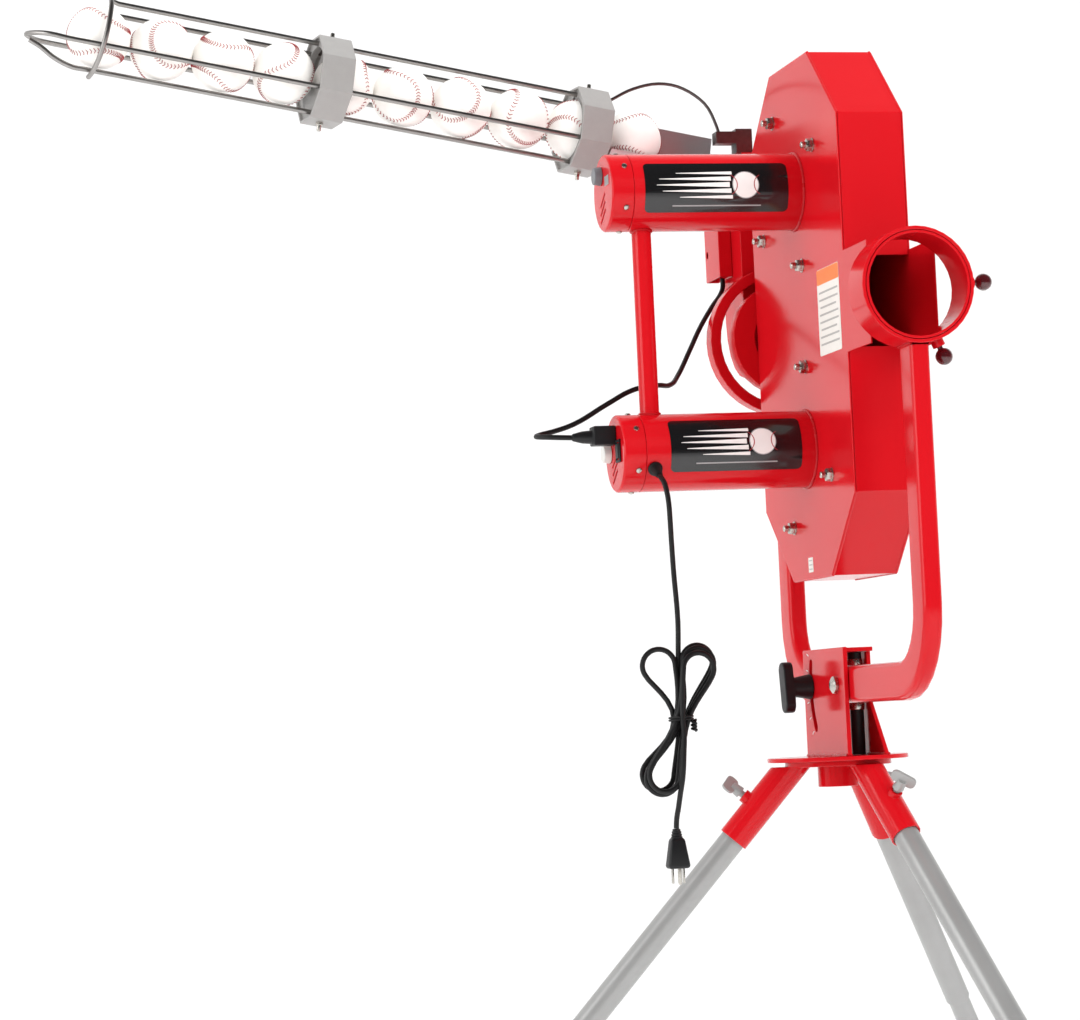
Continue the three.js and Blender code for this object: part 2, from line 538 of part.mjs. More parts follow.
function tripod() {
  const frames = LEG_YAW.map(legFrame);
  const underHub = HUB_TOP_Z - HUB_T;
  let hub = solid(rod(HUB_R, HUB_T, vec(PAN_X, PAN_Y, underHub), AXIS.z, 32));
  hub = hub.add(solid(rod(24, 26, vec(PAN_X, PAN_Y, underHub - 24), AXIS.z, 20)));
  hub = hub.add(solid(rod(KINGPIN_R, SWIVEL_T + HUB_T - 1.5, vec(PAN_X, PAN_Y, underHub + 1), AXIS.z, 20)));
  const above = solid(block(PAN_X - 150, PAN_X + 150, PAN_Y - 150, PAN_Y + 150, underHub + 1, underHub + 120));
  const r = SOCKET_D / 2;
  frames.forEach(({ at, down, up }) => {
    const sleeve = solid(rod(r, SOCKET_LEN + 30, at(-30), down, 20)).subtract(above);
    const boss = solid(rod(8, 7, at(BOLT_D).addScaledVector(up, r - 2), up, 12));
    hub = hub.add(sleeve).add(boss);
  });
  frames.forEach(({ at, down, up }) => {
    hub = hub.subtract(solid(rod(LEG_D / 2 + 2 * GAP, SOCKET_LEN + 5, at(18), down, 20)));
    hub = hub.subtract(solid(rod(BOLT_R + GAP, 30, at(BOLT_D).addScaledVector(up, r - 8), up, 10)));
  });
  part('tripod_hub', geometryOf(hub), redPaint());
  frames.forEach((frame, i) => leg(frame, i + 1));
}

function leg({ at, down, up }, n) {
  const inner = LEG_D / 2 - LEG_WALL;
  part(`leg_${n}_upper_tube`, pipe(LEG_D / 2, inner, LEG_UPPER_LEN, at(20), down, 20), greyPaint());
  const lowerStart = 20 + LEG_UPPER_LEN - LEG_OVERLAP;
  const lowerR = LEG_LOWER_D / 2;
  const total = (at(0).z - GROUND_Z) / Math.sin(rad(LEG_PITCH));
  part(`leg_${n}_lower_tube`, pipe(lowerR, lowerR - LEG_WALL, total - 34 - lowerStart, at(lowerStart), down, 20),
    greyPaint());
  const shoe = turned([[0, 33], [lowerR + GAP, 33], [lowerR + GAP, 0], [FOOT_D / 2 - 2, 0], [FOOT_D / 2, 6],
    [FOOT_D / 2, 70], [0, 70]], at(total - 67), down, 20);
  const ground = block(-2000, 2000, -2000, 2000, GROUND_Z - 200, GROUND_Z);
  part(`leg_${n}_foot`, cut(shoe, ground), blackRubber());
  const seat = SOCKET_D / 2 + 5 + GAP;
  const screw = turned([[0, 0], [BOLT_R, 0], [BOLT_R, seat - LEG_D / 2 + 3], [7, seat - LEG_D / 2 + 3],
    [5.5, seat - LEG_D / 2 + 16], [0, seat - LEG_D / 2 + 16]], at(BOLT_D).addScaledVector(up, LEG_D / 2 + 0.6), up, 12);
  const wing = new THREE.ExtrudeGeometry(roundedRect(30, 15, 6), { depth: 3, bevelEnabled: false, curveSegments: 3 })
    .translate(0, 0, -1.5);
  aim(wing, at(BOLT_D).addScaledVector(up, LEG_D / 2 + seat - LEG_D / 2 + 19), up);
  part(`leg_${n}_wing_bolt`, join(screw, wing), steel());
}

// ---------------------------------------------------------------- feeder
/** The upright chute: balls fall down it, turn in the elbow and roll forward into the drum. */
function feedChute() {
  const half = CHUTE_IN / 2;
  const out = half + CHUTE_WALL;
  const y0 = CHUTE_FRONT_Y;
  const y1 = y0 + CHUTE_IN + 2 * CHUTE_WALL;
  const floor = -THROAT_R;
  /** Side outline of the chute, drawn in by a wall: straight down at the back, rounded into the floor. */
  const side = (inset, top) => {
    const pts = [[y0 + inset, top], [y0 + inset, floor - CHUTE_WALL + inset]];
    const r = ELBOW_R - inset;
    for (let a = -85; a <= 0; a += 17) {
      pts.push([y1 - ELBOW_R + r * Math.cos(rad(a)), floor - CHUTE_WALL + ELBOW_R + r * Math.sin(rad(a))]);
    }
    pts.push([y1 - inset, top]);
    return pts;
  };
  const box = plateYZ(side(0, CHUTE_TOP), -out, out);
  const inside = plateYZ(side(CHUTE_WALL, CHUTE_TOP + 10), -half, half);
  const throat = rod(THROAT_R + CHUTE_WALL, y0 - HALF_D - 6, vec(0, HALF_D + 6, 0), AXIS.y, 28);
  const bore = rod(half, 80, vec(0, HALF_D - 20, 0), AXIS.y, 28);
  const mouth = block(-out - 5, -half + 5, y0 - 5, y1 - 6, CHUTE_TOP - 63, CHUTE_TOP + 20);
  const camSlot = block(CAM_X - CAM_W / 2 - 1, CAM_X + CAM_W / 2 + 1, y1 - 6, y1 + 6, CAM_Z - 22, CAM_Z + 22);
  part('feed_chute', cut(join(box, throat), inside, bore, mouth, camSlot), redPaint());
}

const CAM_X = -24;
const CAM_W = 8;
const CAM_Z = 122;
const CAM_R = 20;
const CAM_SHAFT_Y = CHUTE_FRONT_Y + CHUTE_IN + 2 * CHUTE_WALL + 11;
const COVER_X = [-57, -CHUTE_IN / 2 - CHUTE_WALL - GAP];

/** The gear motor's cover beside the chute, and the two-lobed cam that lets one ball pass at a time. */
function feeder() {
  const y = [CAM_SHAFT_Y - 52, CAM_SHAFT_Y + 9];
  const z = [88, 172];
  const shell = block(COVER_X[0], COVER_X[1], y[0], y[1], z[0], z[1]);
  const hollow = block(COVER_X[0] + 2, COVER_X[1] - 2, y[0] + 2, y[1] - 2, z[0] - 5, z[1] - 2);
  const shaftHole = rod(4 + GAP, 40, vec(COVER_X[1] - 20, CAM_SHAFT_Y, CAM_Z), AXIS.x, 16);
  part('feeder_cover', cut(shell, hollow, shaftHole), redPaint());
  const shaft = rod(4, CAM_X + CAM_W / 2 - COVER_X[0] - 4,
    vec(COVER_X[0] + 4, CAM_SHAFT_Y, CAM_Z), AXIS.x, 16);
  const lobe = plateYZ([...Array(12).keys()].map((i) => {
    const a = (i * Math.PI) / 6;
    const r = CAM_R - 9 * Math.abs(Math.cos(a));
    return [CAM_SHAFT_Y + r * Math.cos(a), CAM_Z + r * Math.sin(a)];
  }), CAM_X - CAM_W / 2, CAM_X + CAM_W / 2);
  part('feeder_cam', join(shaft, lobe), blackPlastic());
}

// ---------------------------------------------------------------- ball rack
/** The rack's own frame: +X runs down the slope to the chute, and the balls' centres lie on its axis. */
const rack = new THREE.Group();
rack.position.set(...RACK_START);
rack.rotation.set(0, rad(RACK_SLOPE), rad(RACK_YAW), 'ZYX');
machine.add(rack);

const onCircle = (r, degrees) => [r * Math.cos(rad(degrees)), r * Math.sin(rad(degrees))];
const WIRE_ANGLES = { top: 98, upperFar: 57, far: -8, bottom: 262, near: 203 };
const WIRE_INNER_END = -(INNER_CLAMP_S - CLAMP_LEN / 2 + 6);
const wireRadius = (name) => (name === 'bottom' ? CRADLE_R : GUARD_R);
const wirePlace = (name) => onCircle(wireRadius(name), WIRE_ANGLES[name]);
const HOOP_SLANT = 13;                 // how much farther out the hoop's lower end is

/** A wire of the rack along points [x, y, z] that get joined by a smooth curve from the second one on. */
function bentWire([first, ...bend], last) {
  const curve = new THREE.CatmullRomCurve3(bend.map((p) => vec(...p)), false, 'centripetal');
  const points = [vec(...first), ...curve.getPoints(24)];
  if (last) points.push(vec(...last));
  return swept(roundSection(WIRE_D / 2, 8), points);
}

/** The top wire, which bends down round the near side at its open end. */
function topWire() {
  const s = -TOP_WIRE_S;
  const [y, z] = wirePlace('top');
  const hoopR = GUARD_R + WIRE_D + 1;
  const points = [vec(WIRE_INNER_END, y, z), vec(s + 12, y, z), vec(s + 3, y, z + 2)];
  const [from, to] = [WIRE_ANGLES.top + 6, WIRE_ANGLES.bottom];
  for (let i = 0; i <= 12; i += 1) {
    const a = from + ((to - from) * i) / 12;
    points.push(vec(s - (HOOP_SLANT * i) / 12, ...onCircle(hoopR, a)));
  }
  return swept(roundSection(WIRE_D / 2, 8), points);
}

/** The two side wires, made from one length that turns round the open end. */
function loopWire() {
  const s = -RACK_TIP_S;
  const [y0, z0] = wirePlace('near');
  const [y1, z1] = wirePlace('far');
  return bentWire([[WIRE_INNER_END, y0, z0], [s + 70, y0, z0], [s + 42, y0, z0], [s + 20, -32, -14], [s + 6, -16, -12],
    [s, 1, -11], [s + 7, 19, -9.5], [s + 22, 35, -7.5], [s + 46, y1, z1], [s + 70, y1, z1]], [WIRE_INNER_END, y1, z1]);
}

/** The bottom wire, which turns up to the loop's tip. */
function bottomWire() {
  const s = -RACK_TIP_S;
  const [y, z] = wirePlace('bottom');
  return bentWire([[WIRE_INNER_END, y, z], [s + 72, y, z], [s + 55, y, z], [s + 34, y + 0.5, z + 6.5],
    [s + 16, y + 1.5, z + 17], [s + 3, -3, -17.9]]);
}

/** A straight rack wire, out to a distance from the chute. */
function straightWire(name, reach) {
  return rod(WIRE_D / 2, reach + WIRE_INNER_END, vec(-reach, ...wirePlace(name)), AXIS.x, 10);
}

/** Octagonal clamp round the rack, with a web that the wires pass through. */
function rackClamp(s) {
  const across = CLAMP_FLATS / 2;
  const eightSided = (r) => [...Array(8).keys()].map((i) =>
    onCircle(r / Math.cos(Math.PI / 8), 22.5 + i * 45));
  const x0 = -s - CLAMP_LEN / 2;
  const x1 = x0 + CLAMP_LEN;
  const inner = new THREE.Path(eightSided(across - CLAMP_WALL).map(([y, z]) => new THREE.Vector2(y, z)));
  const shell = plateYZ(eightSided(across), x0, x1, [inner]);
  const web = plateYZ(eightSided(across - 1), x0 + 4, x0 + 12);
  const wires = Object.keys(WIRE_ANGLES).map((name) =>
    rod(WIRE_D / 2 + GAP, 30, vec(x0 - 5, ...wirePlace(name)), AXIS.x, 10));
  return cut(join(shell, web), rod(BALL_D / 2 + 2, 80, vec(x0 - 10, 0, 0), AXIS.x, 28), ...wires);
}

function trough() {
  const reach = -WIRE_INNER_END - 12;
  const r = TROUGH_R;
  const outline = [];
  const lipFrom = 212;
  for (let a = lipFrom; a <= 360; a += 14.8) outline.push(onCircle(r + TROUGH_WALL, a));
  outline.push([r + TROUGH_WALL, 33], [r, 33]);
  for (let a = 360; a >= lipFrom; a -= 14.8) outline.push(onCircle(r, a));
  return plateYZ(outline, -reach, -52);
}

function ballRack() {
  part('rack_top_wire', topWire(), steel(), rack);
  part('rack_upper_wire', straightWire('upperFar', TOP_WIRE_S), steel(), rack);
  part('rack_loop_wire', loopWire(), steel(), rack);
  part('rack_bottom_wire', bottomWire(), steel(), rack);
  part('rack_inner_clamp', rackClamp(INNER_CLAMP_S), greyPaint(), rack);
  part('rack_outer_clamp', rackClamp(OUTER_CLAMP_S), greyPaint(), rack);
  part('ball_trough', trough(), steel(), rack);
}

// the retaining cable's anchor on the chute, and the arch the cable makes back to the inner clamp
const ANCHOR = { x: -30, y: CHUTE_FRONT_Y + 11, z: CHUTE_TOP + 2 };
const CABLE_ROUTE = [[-56, 0, 255], [-60, 0, 270], [-73, 1, 298], [-103, 2, 319], [-132, 2, 324], [-165, 1, 317],
  [-190, 0, 305], [-206, -1, 296]].map(([x, along, z]) => [x, ANCHOR.y + along, z]);

function retainingCable() {
  const bracket = block(ANCHOR.x - 9, ANCHOR.x + 12, ANCHOR.y - 9, ANCHOR.y + 12, CHUTE_TOP + GAP, 266);
  const box = block(ANCHOR.x - 34, ANCHOR.x - 9, ANCHOR.y - 9, ANCHOR.y + 9, 248, 262.7);
  part('retaining_cable', join(bracket, box, cordAlong(CABLE_ROUTE, CABLE_D, 24, 8)), steel());
}

// ---------------------------------------------------------------- cords
// hand-chosen routes, in machine coordinates from the middle of the wheel housing
const FEEDER_ROUTE = [[-317.8, 0, -130], [-331, 0, -129.5], [-344, 4, -128.5], [-352, 15, -127], [-352, 28, -125],
  [-343, 38, -122], [-326, 43, -118], [-302, 45, -110], [-262, 47, -88], [-230, 50, -72], [-200, 62, -66],
  [-172, 98, -62], [-148, 143, -45], [-122, 180, -12], [-98, 212, 20], [-74, 240, 48], [-55, 262, 68],
  [-49, 272, 79], [-48.5, 274, 87.7]];
const MAINS_ROUTE = [[-232, -67, -184.3], [-231.5, -76, -190.5], [-231, -82, -200], [-230, -84.4, -213],
  [-229, -83, -230], [-227.5, -79, -255], [-225.5, -75, -290], [-222.5, -72, -344], [-223, -72, -370]];
const TAIL_ROUTE = [[-231.6, -80.5, -539], [-233, -76.5, -552], [-234.8, -73, -565], [-235.5, -72, -575.6]];
const HANK_TOP = -370.3;
const HANK_BOTTOM = -538.6;
const HANK_T = 34;
const CORD_Y = -72;

function feederCord() {
  const [y, z] = FEEDER_OUTLET;
  const face = MOTOR_END_X - GAP;
  const body = block(face - 26, face, y - 11, y + 11, -WHEEL_Z + z - 10, -WHEEL_Z + z + 12);
  const neck = turned([[0, 0], [8, 0], [7, 12], [4, 24], [0, 24]], vec(face - 26 + 0.5, y, -WHEEL_Z + z),
    AXIS.x.clone().negate(), 16);
  part('feeder_plug', join(body, neck), blackPlastic());
  part('feeder_cord', cordAlong(FEEDER_ROUTE, CORD_D, 42), blackRubber());
}

function mainsCord() {
  const out = vec(0, -0.89, -0.456).normalize();
  const axis = vec(-232, 0, -WHEEL_Z);
  const at = (r) => axis.clone().addScaledVector(out, r);
  const grommet = turned([[0, 0], [8, 0], [8, 4], [5.5, 6], [4.2, 21], [0, 21]], at(MOTOR_R + GAP), out, 16);
  part('mains_strain_relief', grommet, blackRubber());
  part('mains_cord', cordAlong([at(MOTOR_R + 2 * GAP + 21).toArray(), ...MAINS_ROUTE], CORD_D, 14),
    blackRubber());
  const outline = new THREE.Shape([[-265, -395], [-262, -380], [-250, HANK_TOP], [-196, HANK_TOP], [-184, -378],
    [-180.3, -394], [-186, -410], [-213, -452], [-213, -462], [-226.5, -515], [-232, -532], [-238, HANK_BOTTOM],
    [-252, HANK_BOTTOM], [-266, -532], [-270, -518], [-267, -505], [-236, -462], [-236, -450], [-265, -405],
  ].map(([x, z]) => new THREE.Vector2(x, z)));
  const hank = new THREE.ExtrudeGeometry(outline, { depth: HANK_T, bevelEnabled: false })
    .rotateX(Math.PI / 2).translate(0, CORD_Y + HANK_T / 2, 0);
  part('mains_cord_hank', hank, blackRubber());
  part('mains_cord_tail', cordAlong(TAIL_ROUTE, CORD_D, 4), blackRubber());
  const plugTop = -576;
  const section = { depth: 44, bevelEnabled: false, curveSegments: 4 };
  const body = new THREE.ExtrudeGeometry(roundedRect(25, 22, 6), section)
    .translate(-236, CORD_Y, plugTop - 44);
  const pins = [[-243, 0], [-229, 0]].map(([x, dy]) =>
    block(x - 0.8, x + 0.8, CORD_Y + dy - 3, CORD_Y + dy + 3, plugTop - 62, plugTop - 43));
  const earth = rod(2.4, 20, vec(-236, CORD_Y - 7, plugTop - 64), AXIS.z, 12);
  part('mains_plug', join(body, ...pins, earth), blackPlastic());
}

// ---------------------------------------------------------------- assembly
housing();
barrelAndDrum();
motors();
drive('upper', WHEEL_Z);
drive('lower', -WHEEL_Z);
yoke();
lockKnobs();
tower();
tiltHardware();
tripod();
feedChute();
feeder();
ballRack();
retainingCable();
feederCord();
mainsCord();

// the origin goes to the middle of the machine's box, on the ground; free cords don't count
const FREE_CORDS = ['feeder_cord', 'feeder_plug', 'mains_strain_relief', 'mains_cord', 'mains_cord_hank',
  'mains_cord_tail', 'mains_plug'];
const extent = new THREE.Box3();
machine.updateMatrixWorld(true);
machine.traverse((node) => {
  if (node.isMesh && !FREE_CORDS.includes(node.name)) extent.expandByObject(node, true);
});
const middle = extent.getCenter(new THREE.Vector3());
machine.position.set(-middle.x, -middle.y, -extent.min.z);

export default machine;
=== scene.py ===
"""Baseball pitching machine: its finishes, fittings, balls and cords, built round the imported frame.

Everything is in metres in the row frame. The ball leaves towards -Y, and the motors and the rack
stand out to -X.
"""

import json
import logging
import math
import random
from dataclasses import dataclass, field
from enum import Enum
from typing import Iterable, Sequence

import bmesh
import bpy
from mathutils import Matrix, Vector

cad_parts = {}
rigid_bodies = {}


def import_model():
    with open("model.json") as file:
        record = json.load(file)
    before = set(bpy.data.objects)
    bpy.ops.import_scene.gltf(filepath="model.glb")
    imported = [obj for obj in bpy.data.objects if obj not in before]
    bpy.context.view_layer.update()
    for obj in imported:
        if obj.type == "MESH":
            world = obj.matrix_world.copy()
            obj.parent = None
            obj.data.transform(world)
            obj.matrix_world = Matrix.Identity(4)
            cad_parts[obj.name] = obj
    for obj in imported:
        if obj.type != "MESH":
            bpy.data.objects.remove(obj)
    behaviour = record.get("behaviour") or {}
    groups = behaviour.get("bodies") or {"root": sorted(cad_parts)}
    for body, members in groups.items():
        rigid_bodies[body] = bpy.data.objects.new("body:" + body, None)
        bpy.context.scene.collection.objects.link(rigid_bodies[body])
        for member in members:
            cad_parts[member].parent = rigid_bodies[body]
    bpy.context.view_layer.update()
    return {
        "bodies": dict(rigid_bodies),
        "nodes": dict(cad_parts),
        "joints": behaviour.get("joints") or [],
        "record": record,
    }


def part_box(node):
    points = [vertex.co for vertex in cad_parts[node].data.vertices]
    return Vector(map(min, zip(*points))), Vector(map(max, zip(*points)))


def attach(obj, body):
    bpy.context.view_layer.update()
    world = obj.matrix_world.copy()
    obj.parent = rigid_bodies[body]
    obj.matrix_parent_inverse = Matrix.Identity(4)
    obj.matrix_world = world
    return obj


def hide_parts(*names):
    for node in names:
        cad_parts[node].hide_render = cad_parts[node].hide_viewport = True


MM = 0.001
LOG = logging.getLogger("pitching_machine")
Point = tuple[float, float, float]
Profile = Sequence[tuple[float, float]]


# ---------------------------------------------------------------- colour and nodes
def linear(hex_colour: str) -> tuple[float, float, float, float]:
    """Turn an sRGB hex colour into linear red, green, blue and alpha.

    Args:
        hex_colour: six hex digits, with or without a leading #.

    Returns:
        The linear colour, opaque.
    """
    digits = hex_colour.lstrip("#")
    channels = [int(digits[i:i + 2], 16) / 255 for i in (0, 2, 4)]
    bent = [c / 12.92 if c <= 0.04045 else ((c + 0.055) / 1.055) ** 2.4 for c in channels]
    return (*bent, 1.0)


def add_node(tree: bpy.types.NodeTree, kind: str, links: dict | None = None, values: dict | None = None,
             **settings: object) -> bpy.types.Node:
    """Add a shader node with its settings, socket values and incoming links.

    Args:
        tree: the material's node tree.
        kind: the node's type name.
        links: input socket name or number to the output socket that feeds it.
        values: input socket name or number to its own value.
        settings: properties of the node itself.

    Returns:
        The new node.
    """
    made = tree.nodes.new(kind)
    for name, value in settings.items():
        setattr(made, name, value)
    for socket, value in (values or {}).items():
        made.inputs[socket].default_value = value
    for socket, source in (links or {}).items():
        tree.links.new(source, made.inputs[socket])
    return made


def per_metre(size_mm: float) -> float:
    """The texture scale whose features are about size_mm across."""
    return 1.0 / (size_mm * MM)


@dataclass(frozen=True)
class Finish:
    """A surface: its material's name, colour and gloss, and the pattern that breaks it up.

    Each finish mottles its colour and its gloss over a broad size and gives the light a fine grain
    to catch, and a subclass states what the real stuff is.
    """

    name: str
    colour: str
    second_colour: str
    roughness: float
    roughness_spread: float = 0.06
    metallic: float = 0.0
    ior: float = 1.5
    coat: float = 0.0
    coat_roughness: float = 0.05
    mottle_mm: float = 60.0
    grain_mm: float = 1.2
    grain_depth_mm: float = 0.01
    slot: str = ""

    def material(self) -> bpy.types.Material:
        """The finish's material, made once."""
        known = bpy.data.materials.get(self.name)
        if known:
            return known
        made = bpy.data.materials.new(self.name)
        made.use_nodes = True
        tree = made.node_tree
        tree.nodes.clear()
        shader = add_node(tree, "ShaderNodeBsdfPrincipled", values={
            "Metallic": self.metallic, "Coat Weight": self.coat, "Coat Roughness": self.coat_roughness})
        if self.metallic == 0:
            shader.inputs["IOR"].default_value = self.ior
        place = add_node(tree, "ShaderNodeTexCoord").outputs["Object"]
        tree.links.new(self.pattern(tree, place), shader.inputs["Base Color"])
        tree.links.new(self.gloss(tree, place), shader.inputs["Roughness"])
        tree.links.new(self.relief(tree, place), shader.inputs["Normal"])
        add_node(tree, "ShaderNodeOutputMaterial", links={"Surface": shader.outputs["BSDF"]})
        return made

    def pattern(self, tree: bpy.types.NodeTree, place: bpy.types.NodeSocket) -> bpy.types.NodeSocket:
        """The colour, drifting between the two shades over the mottle size."""
        noise = add_node(tree, "ShaderNodeTexNoise", links={"Vector": place},
                         values={"Scale": per_metre(self.mottle_mm), "Detail": 4.0, "Roughness": 0.6})
        mix = add_node(tree, "ShaderNodeMix", links={"Factor": noise.outputs["Fac"]}, data_type="RGBA")
        mix.inputs[6].default_value = linear(self.colour)
        mix.inputs[7].default_value = linear(self.second_colour)
        return mix.outputs[2]

    def gloss(self, tree: bpy.types.NodeTree, place: bpy.types.NodeSocket) -> bpy.types.NodeSocket:
        """The roughness, drifting a little where the surface has been handled."""
        noise = add_node(tree, "ShaderNodeTexNoise", links={"Vector": place},
                         values={"Scale": per_metre(self.mottle_mm * 0.45), "Detail": 3.0})
        spread = add_node(tree, "ShaderNodeMapRange", links={"Value": noise.outputs["Fac"]}, values={
            "To Min": self.roughness - self.roughness_spread, "To Max": self.roughness + self.roughness_spread})
        return spread.outputs["Result"]

    def relief(self, tree: bpy.types.NodeTree, place: bpy.types.NodeSocket) -> bpy.types.NodeSocket:
        """The grain that the light catches."""
        noise = add_node(tree, "ShaderNodeTexNoise", links={"Vector": place},
                         values={"Scale": per_metre(self.grain_mm), "Detail": 2.0})
        bump = add_node(tree, "ShaderNodeBump", links={"Height": noise.outputs["Fac"]},
                        values={"Strength": 1.0, "Distance": self.grain_depth_mm * MM})
        return bump.outputs["Normal"]


@dataclass(frozen=True)
class BrushedMetal(Finish):
    """Metal with the fine lines that drawing, rolling or turning leaves along one way."""

    metallic: float = 1.0
    lines: Point = (1.0, 1.0, 1.0)

    def relief(self, tree: bpy.types.NodeTree, place: bpy.types.NodeSocket) -> bpy.types.NodeSocket:
        """Lines drawn out along the axis whose factor is small."""
        drawn = add_node(tree, "ShaderNodeMapping", links={"Vector": place}, values={"Scale": self.lines})
        noise = add_node(tree, "ShaderNodeTexNoise", links={"Vector": drawn.outputs["Vector"]},
                         values={"Scale": per_metre(self.grain_mm), "Detail": 3.0})
        bump = add_node(tree, "ShaderNodeBump", links={"Height": noise.outputs["Fac"]},
                        values={"Strength": 1.0, "Distance": self.grain_depth_mm * MM})
        return bump.outputs["Normal"]


@dataclass(frozen=True)
class GalvanisedSheet(Finish):
    """Zinc-dipped sheet: its crystals show as pale and dark patches some millimetres across."""

    metallic: float = 1.0
    spangle_mm: float = 7.0

    def pattern(self, tree: bpy.types.NodeTree, place: bpy.types.NodeSocket) -> bpy.types.NodeSocket:
        """Crystals as cells, each a shade between the two colours."""
        cells = add_node(tree, "ShaderNodeTexVoronoi", links={"Vector": place},
                         values={"Scale": per_metre(self.spangle_mm)})
        mix = add_node(tree, "ShaderNodeMix", links={"Factor": cells.outputs["Color"]}, data_type="RGBA")
        mix.inputs[6].default_value = linear(self.colour)
        mix.inputs[7].default_value = linear(self.second_colour)
        return mix.outputs[2]


@dataclass(frozen=True)
class PebbledLeather(Finish):
    """Full-grain white leather: fine pebbles with soft creases between, lightly scuffed."""

    pebble_mm: float = 1.6

    def relief(self, tree: bpy.types.NodeTree, place: bpy.types.NodeSocket) -> bpy.types.NodeSocket:
        """Pebbles as the distance from cell edges."""
        cells = add_node(tree, "ShaderNodeTexVoronoi", links={"Vector": place}, feature="DISTANCE_TO_EDGE",
                         values={"Scale": per_metre(self.pebble_mm)})
        bump = add_node(tree, "ShaderNodeBump", links={"Height": cells.outputs["Distance"]},
                        values={"Strength": 0.5, "Distance": self.grain_depth_mm * MM})
        return bump.outputs["Normal"]


# Baked gloss enamel over primed steel: saturated, mirror-like, with a faint orange peel.
ENAMEL = Finish("red_baked_enamel", "c7101a", "bd0d17", 0.15, 0.03, ior=1.33,
                mottle_mm=180, grain_mm=2.5, grain_depth_mm=0.012, slot="red_enamel")
# The same enamel on cast and welded pieces, where it lies thicker and a little rougher.
ENAMEL_WELD = Finish("red_enamel_on_welds", "bb0f18", "a50b13", 0.28, 0.06, ior=1.35,
                     mottle_mm=25, grain_mm=2.0, grain_depth_mm=0.12, slot="red_enamel")
# Satin paint on drawn tube and castings: grey, dull, slightly speckled.
CLAMP_PAINT = Finish("grey_paint_on_casting", "9f9d9b", "918f8d", 0.45, 0.06, coat=0.15, coat_roughness=0.3,
                     mottle_mm=20, grain_mm=0.9, grain_depth_mm=0.05, slot="rack_grey")
LEG_PAINT = Finish("silver_grey_paint_on_tube", "a3a3a2", "949493", 0.36, 0.06, metallic=0.35,
                   mottle_mm=70, grain_mm=0.8, grain_depth_mm=0.01, slot="leg_grey")
# Zinc on drawn wire: grey metal with fine lengthwise drawing marks.
WIRE_ZINC = BrushedMetal("zinc_plated_wire", "a8a5a2", "8d8a88", 0.34, 0.08, mottle_mm=25, grain_mm=0.5,
                         grain_depth_mm=0.01, lines=(0.05, 1.0, 1.0), slot="plated_wire")
SCREW_ZINC = BrushedMetal("bright_zinc_plate", "c9c6c0", "a8a49c", 0.26, 0.07, mottle_mm=6, grain_mm=0.4,
                          grain_depth_mm=0.01, slot="plated_steel")
CABLE_STEEL = BrushedMetal("stranded_steel_cable", "8e8c8b", "6c6a6a", 0.4, 0.08, mottle_mm=8, grain_mm=0.6,
                           grain_depth_mm=0.06, slot="cable_steel")
ALLOY = BrushedMetal("turned_cast_alloy", "b4b6b8", "9b9da0", 0.35, 0.07, mottle_mm=30, grain_mm=0.5,
                     grain_depth_mm=0.01, lines=(1.0, 0.2, 0.2), slot="wheel_alloy")
TROUGH_ZINC = GalvanisedSheet("galvanised_sheet", "7d7874", "625d5a", 0.45, 0.07, mottle_mm=30, grain_mm=0.8,
                              grain_depth_mm=0.01, slot="galvanised_sheet")
# Rubber moulded in a blasted tool: near black, matt, with a bloom of lighter dust.
TYRE = Finish("moulded_black_rubber", "121213", "1d1c1c", 0.62, 0.08, mottle_mm=35, grain_mm=0.9,
              grain_depth_mm=0.05, slot="wheel_tyre")
FOOT_RUBBER = Finish("foot_rubber", "18181a", "242325", 0.6, 0.08, mottle_mm=30, grain_mm=0.9,
                     grain_depth_mm=0.05, slot="foot_rubber")
# PVC sheath on a flexible lead: black with a soft sheen.
CORD_SHEATH = Finish("black_pvc_sheath", "0b0b0c", "131314", 0.52, 0.06, ior=1.4, mottle_mm=15, grain_mm=0.7,
                     grain_depth_mm=0.02, slot="cord_jacket")
# Moulded nylon and ABS, fine spark-eroded texture.
NYLON = Finish("black_moulded_nylon", "0e0e10", "161618", 0.48, 0.06, ior=1.42, mottle_mm=20, grain_mm=0.6,
               grain_depth_mm=0.03, slot="black_plastic")
GREY_ABS = Finish("grey_moulded_abs", "6f7175", "64666a", 0.4, 0.05, mottle_mm=12, grain_mm=0.5,
                  grain_depth_mm=0.02, slot="dial_grey")
WHITE_ABS = Finish("white_moulded_abs", "dedcd7", "d2d0cb", 0.38, 0.05, mottle_mm=12, grain_mm=0.5,
                   grain_depth_mm=0.02, slot="dial_white")
# Phenolic resin ball, polished: deep red, almost brown in the shade.
PHENOLIC = Finish("polished_phenolic", "4f0c13", "3c0a10", 0.16, 0.03, coat=0.6, coat_roughness=0.04,
                  mottle_mm=12, grain_mm=1.0, grain_depth_mm=0.004, slot="dark_red_knob")
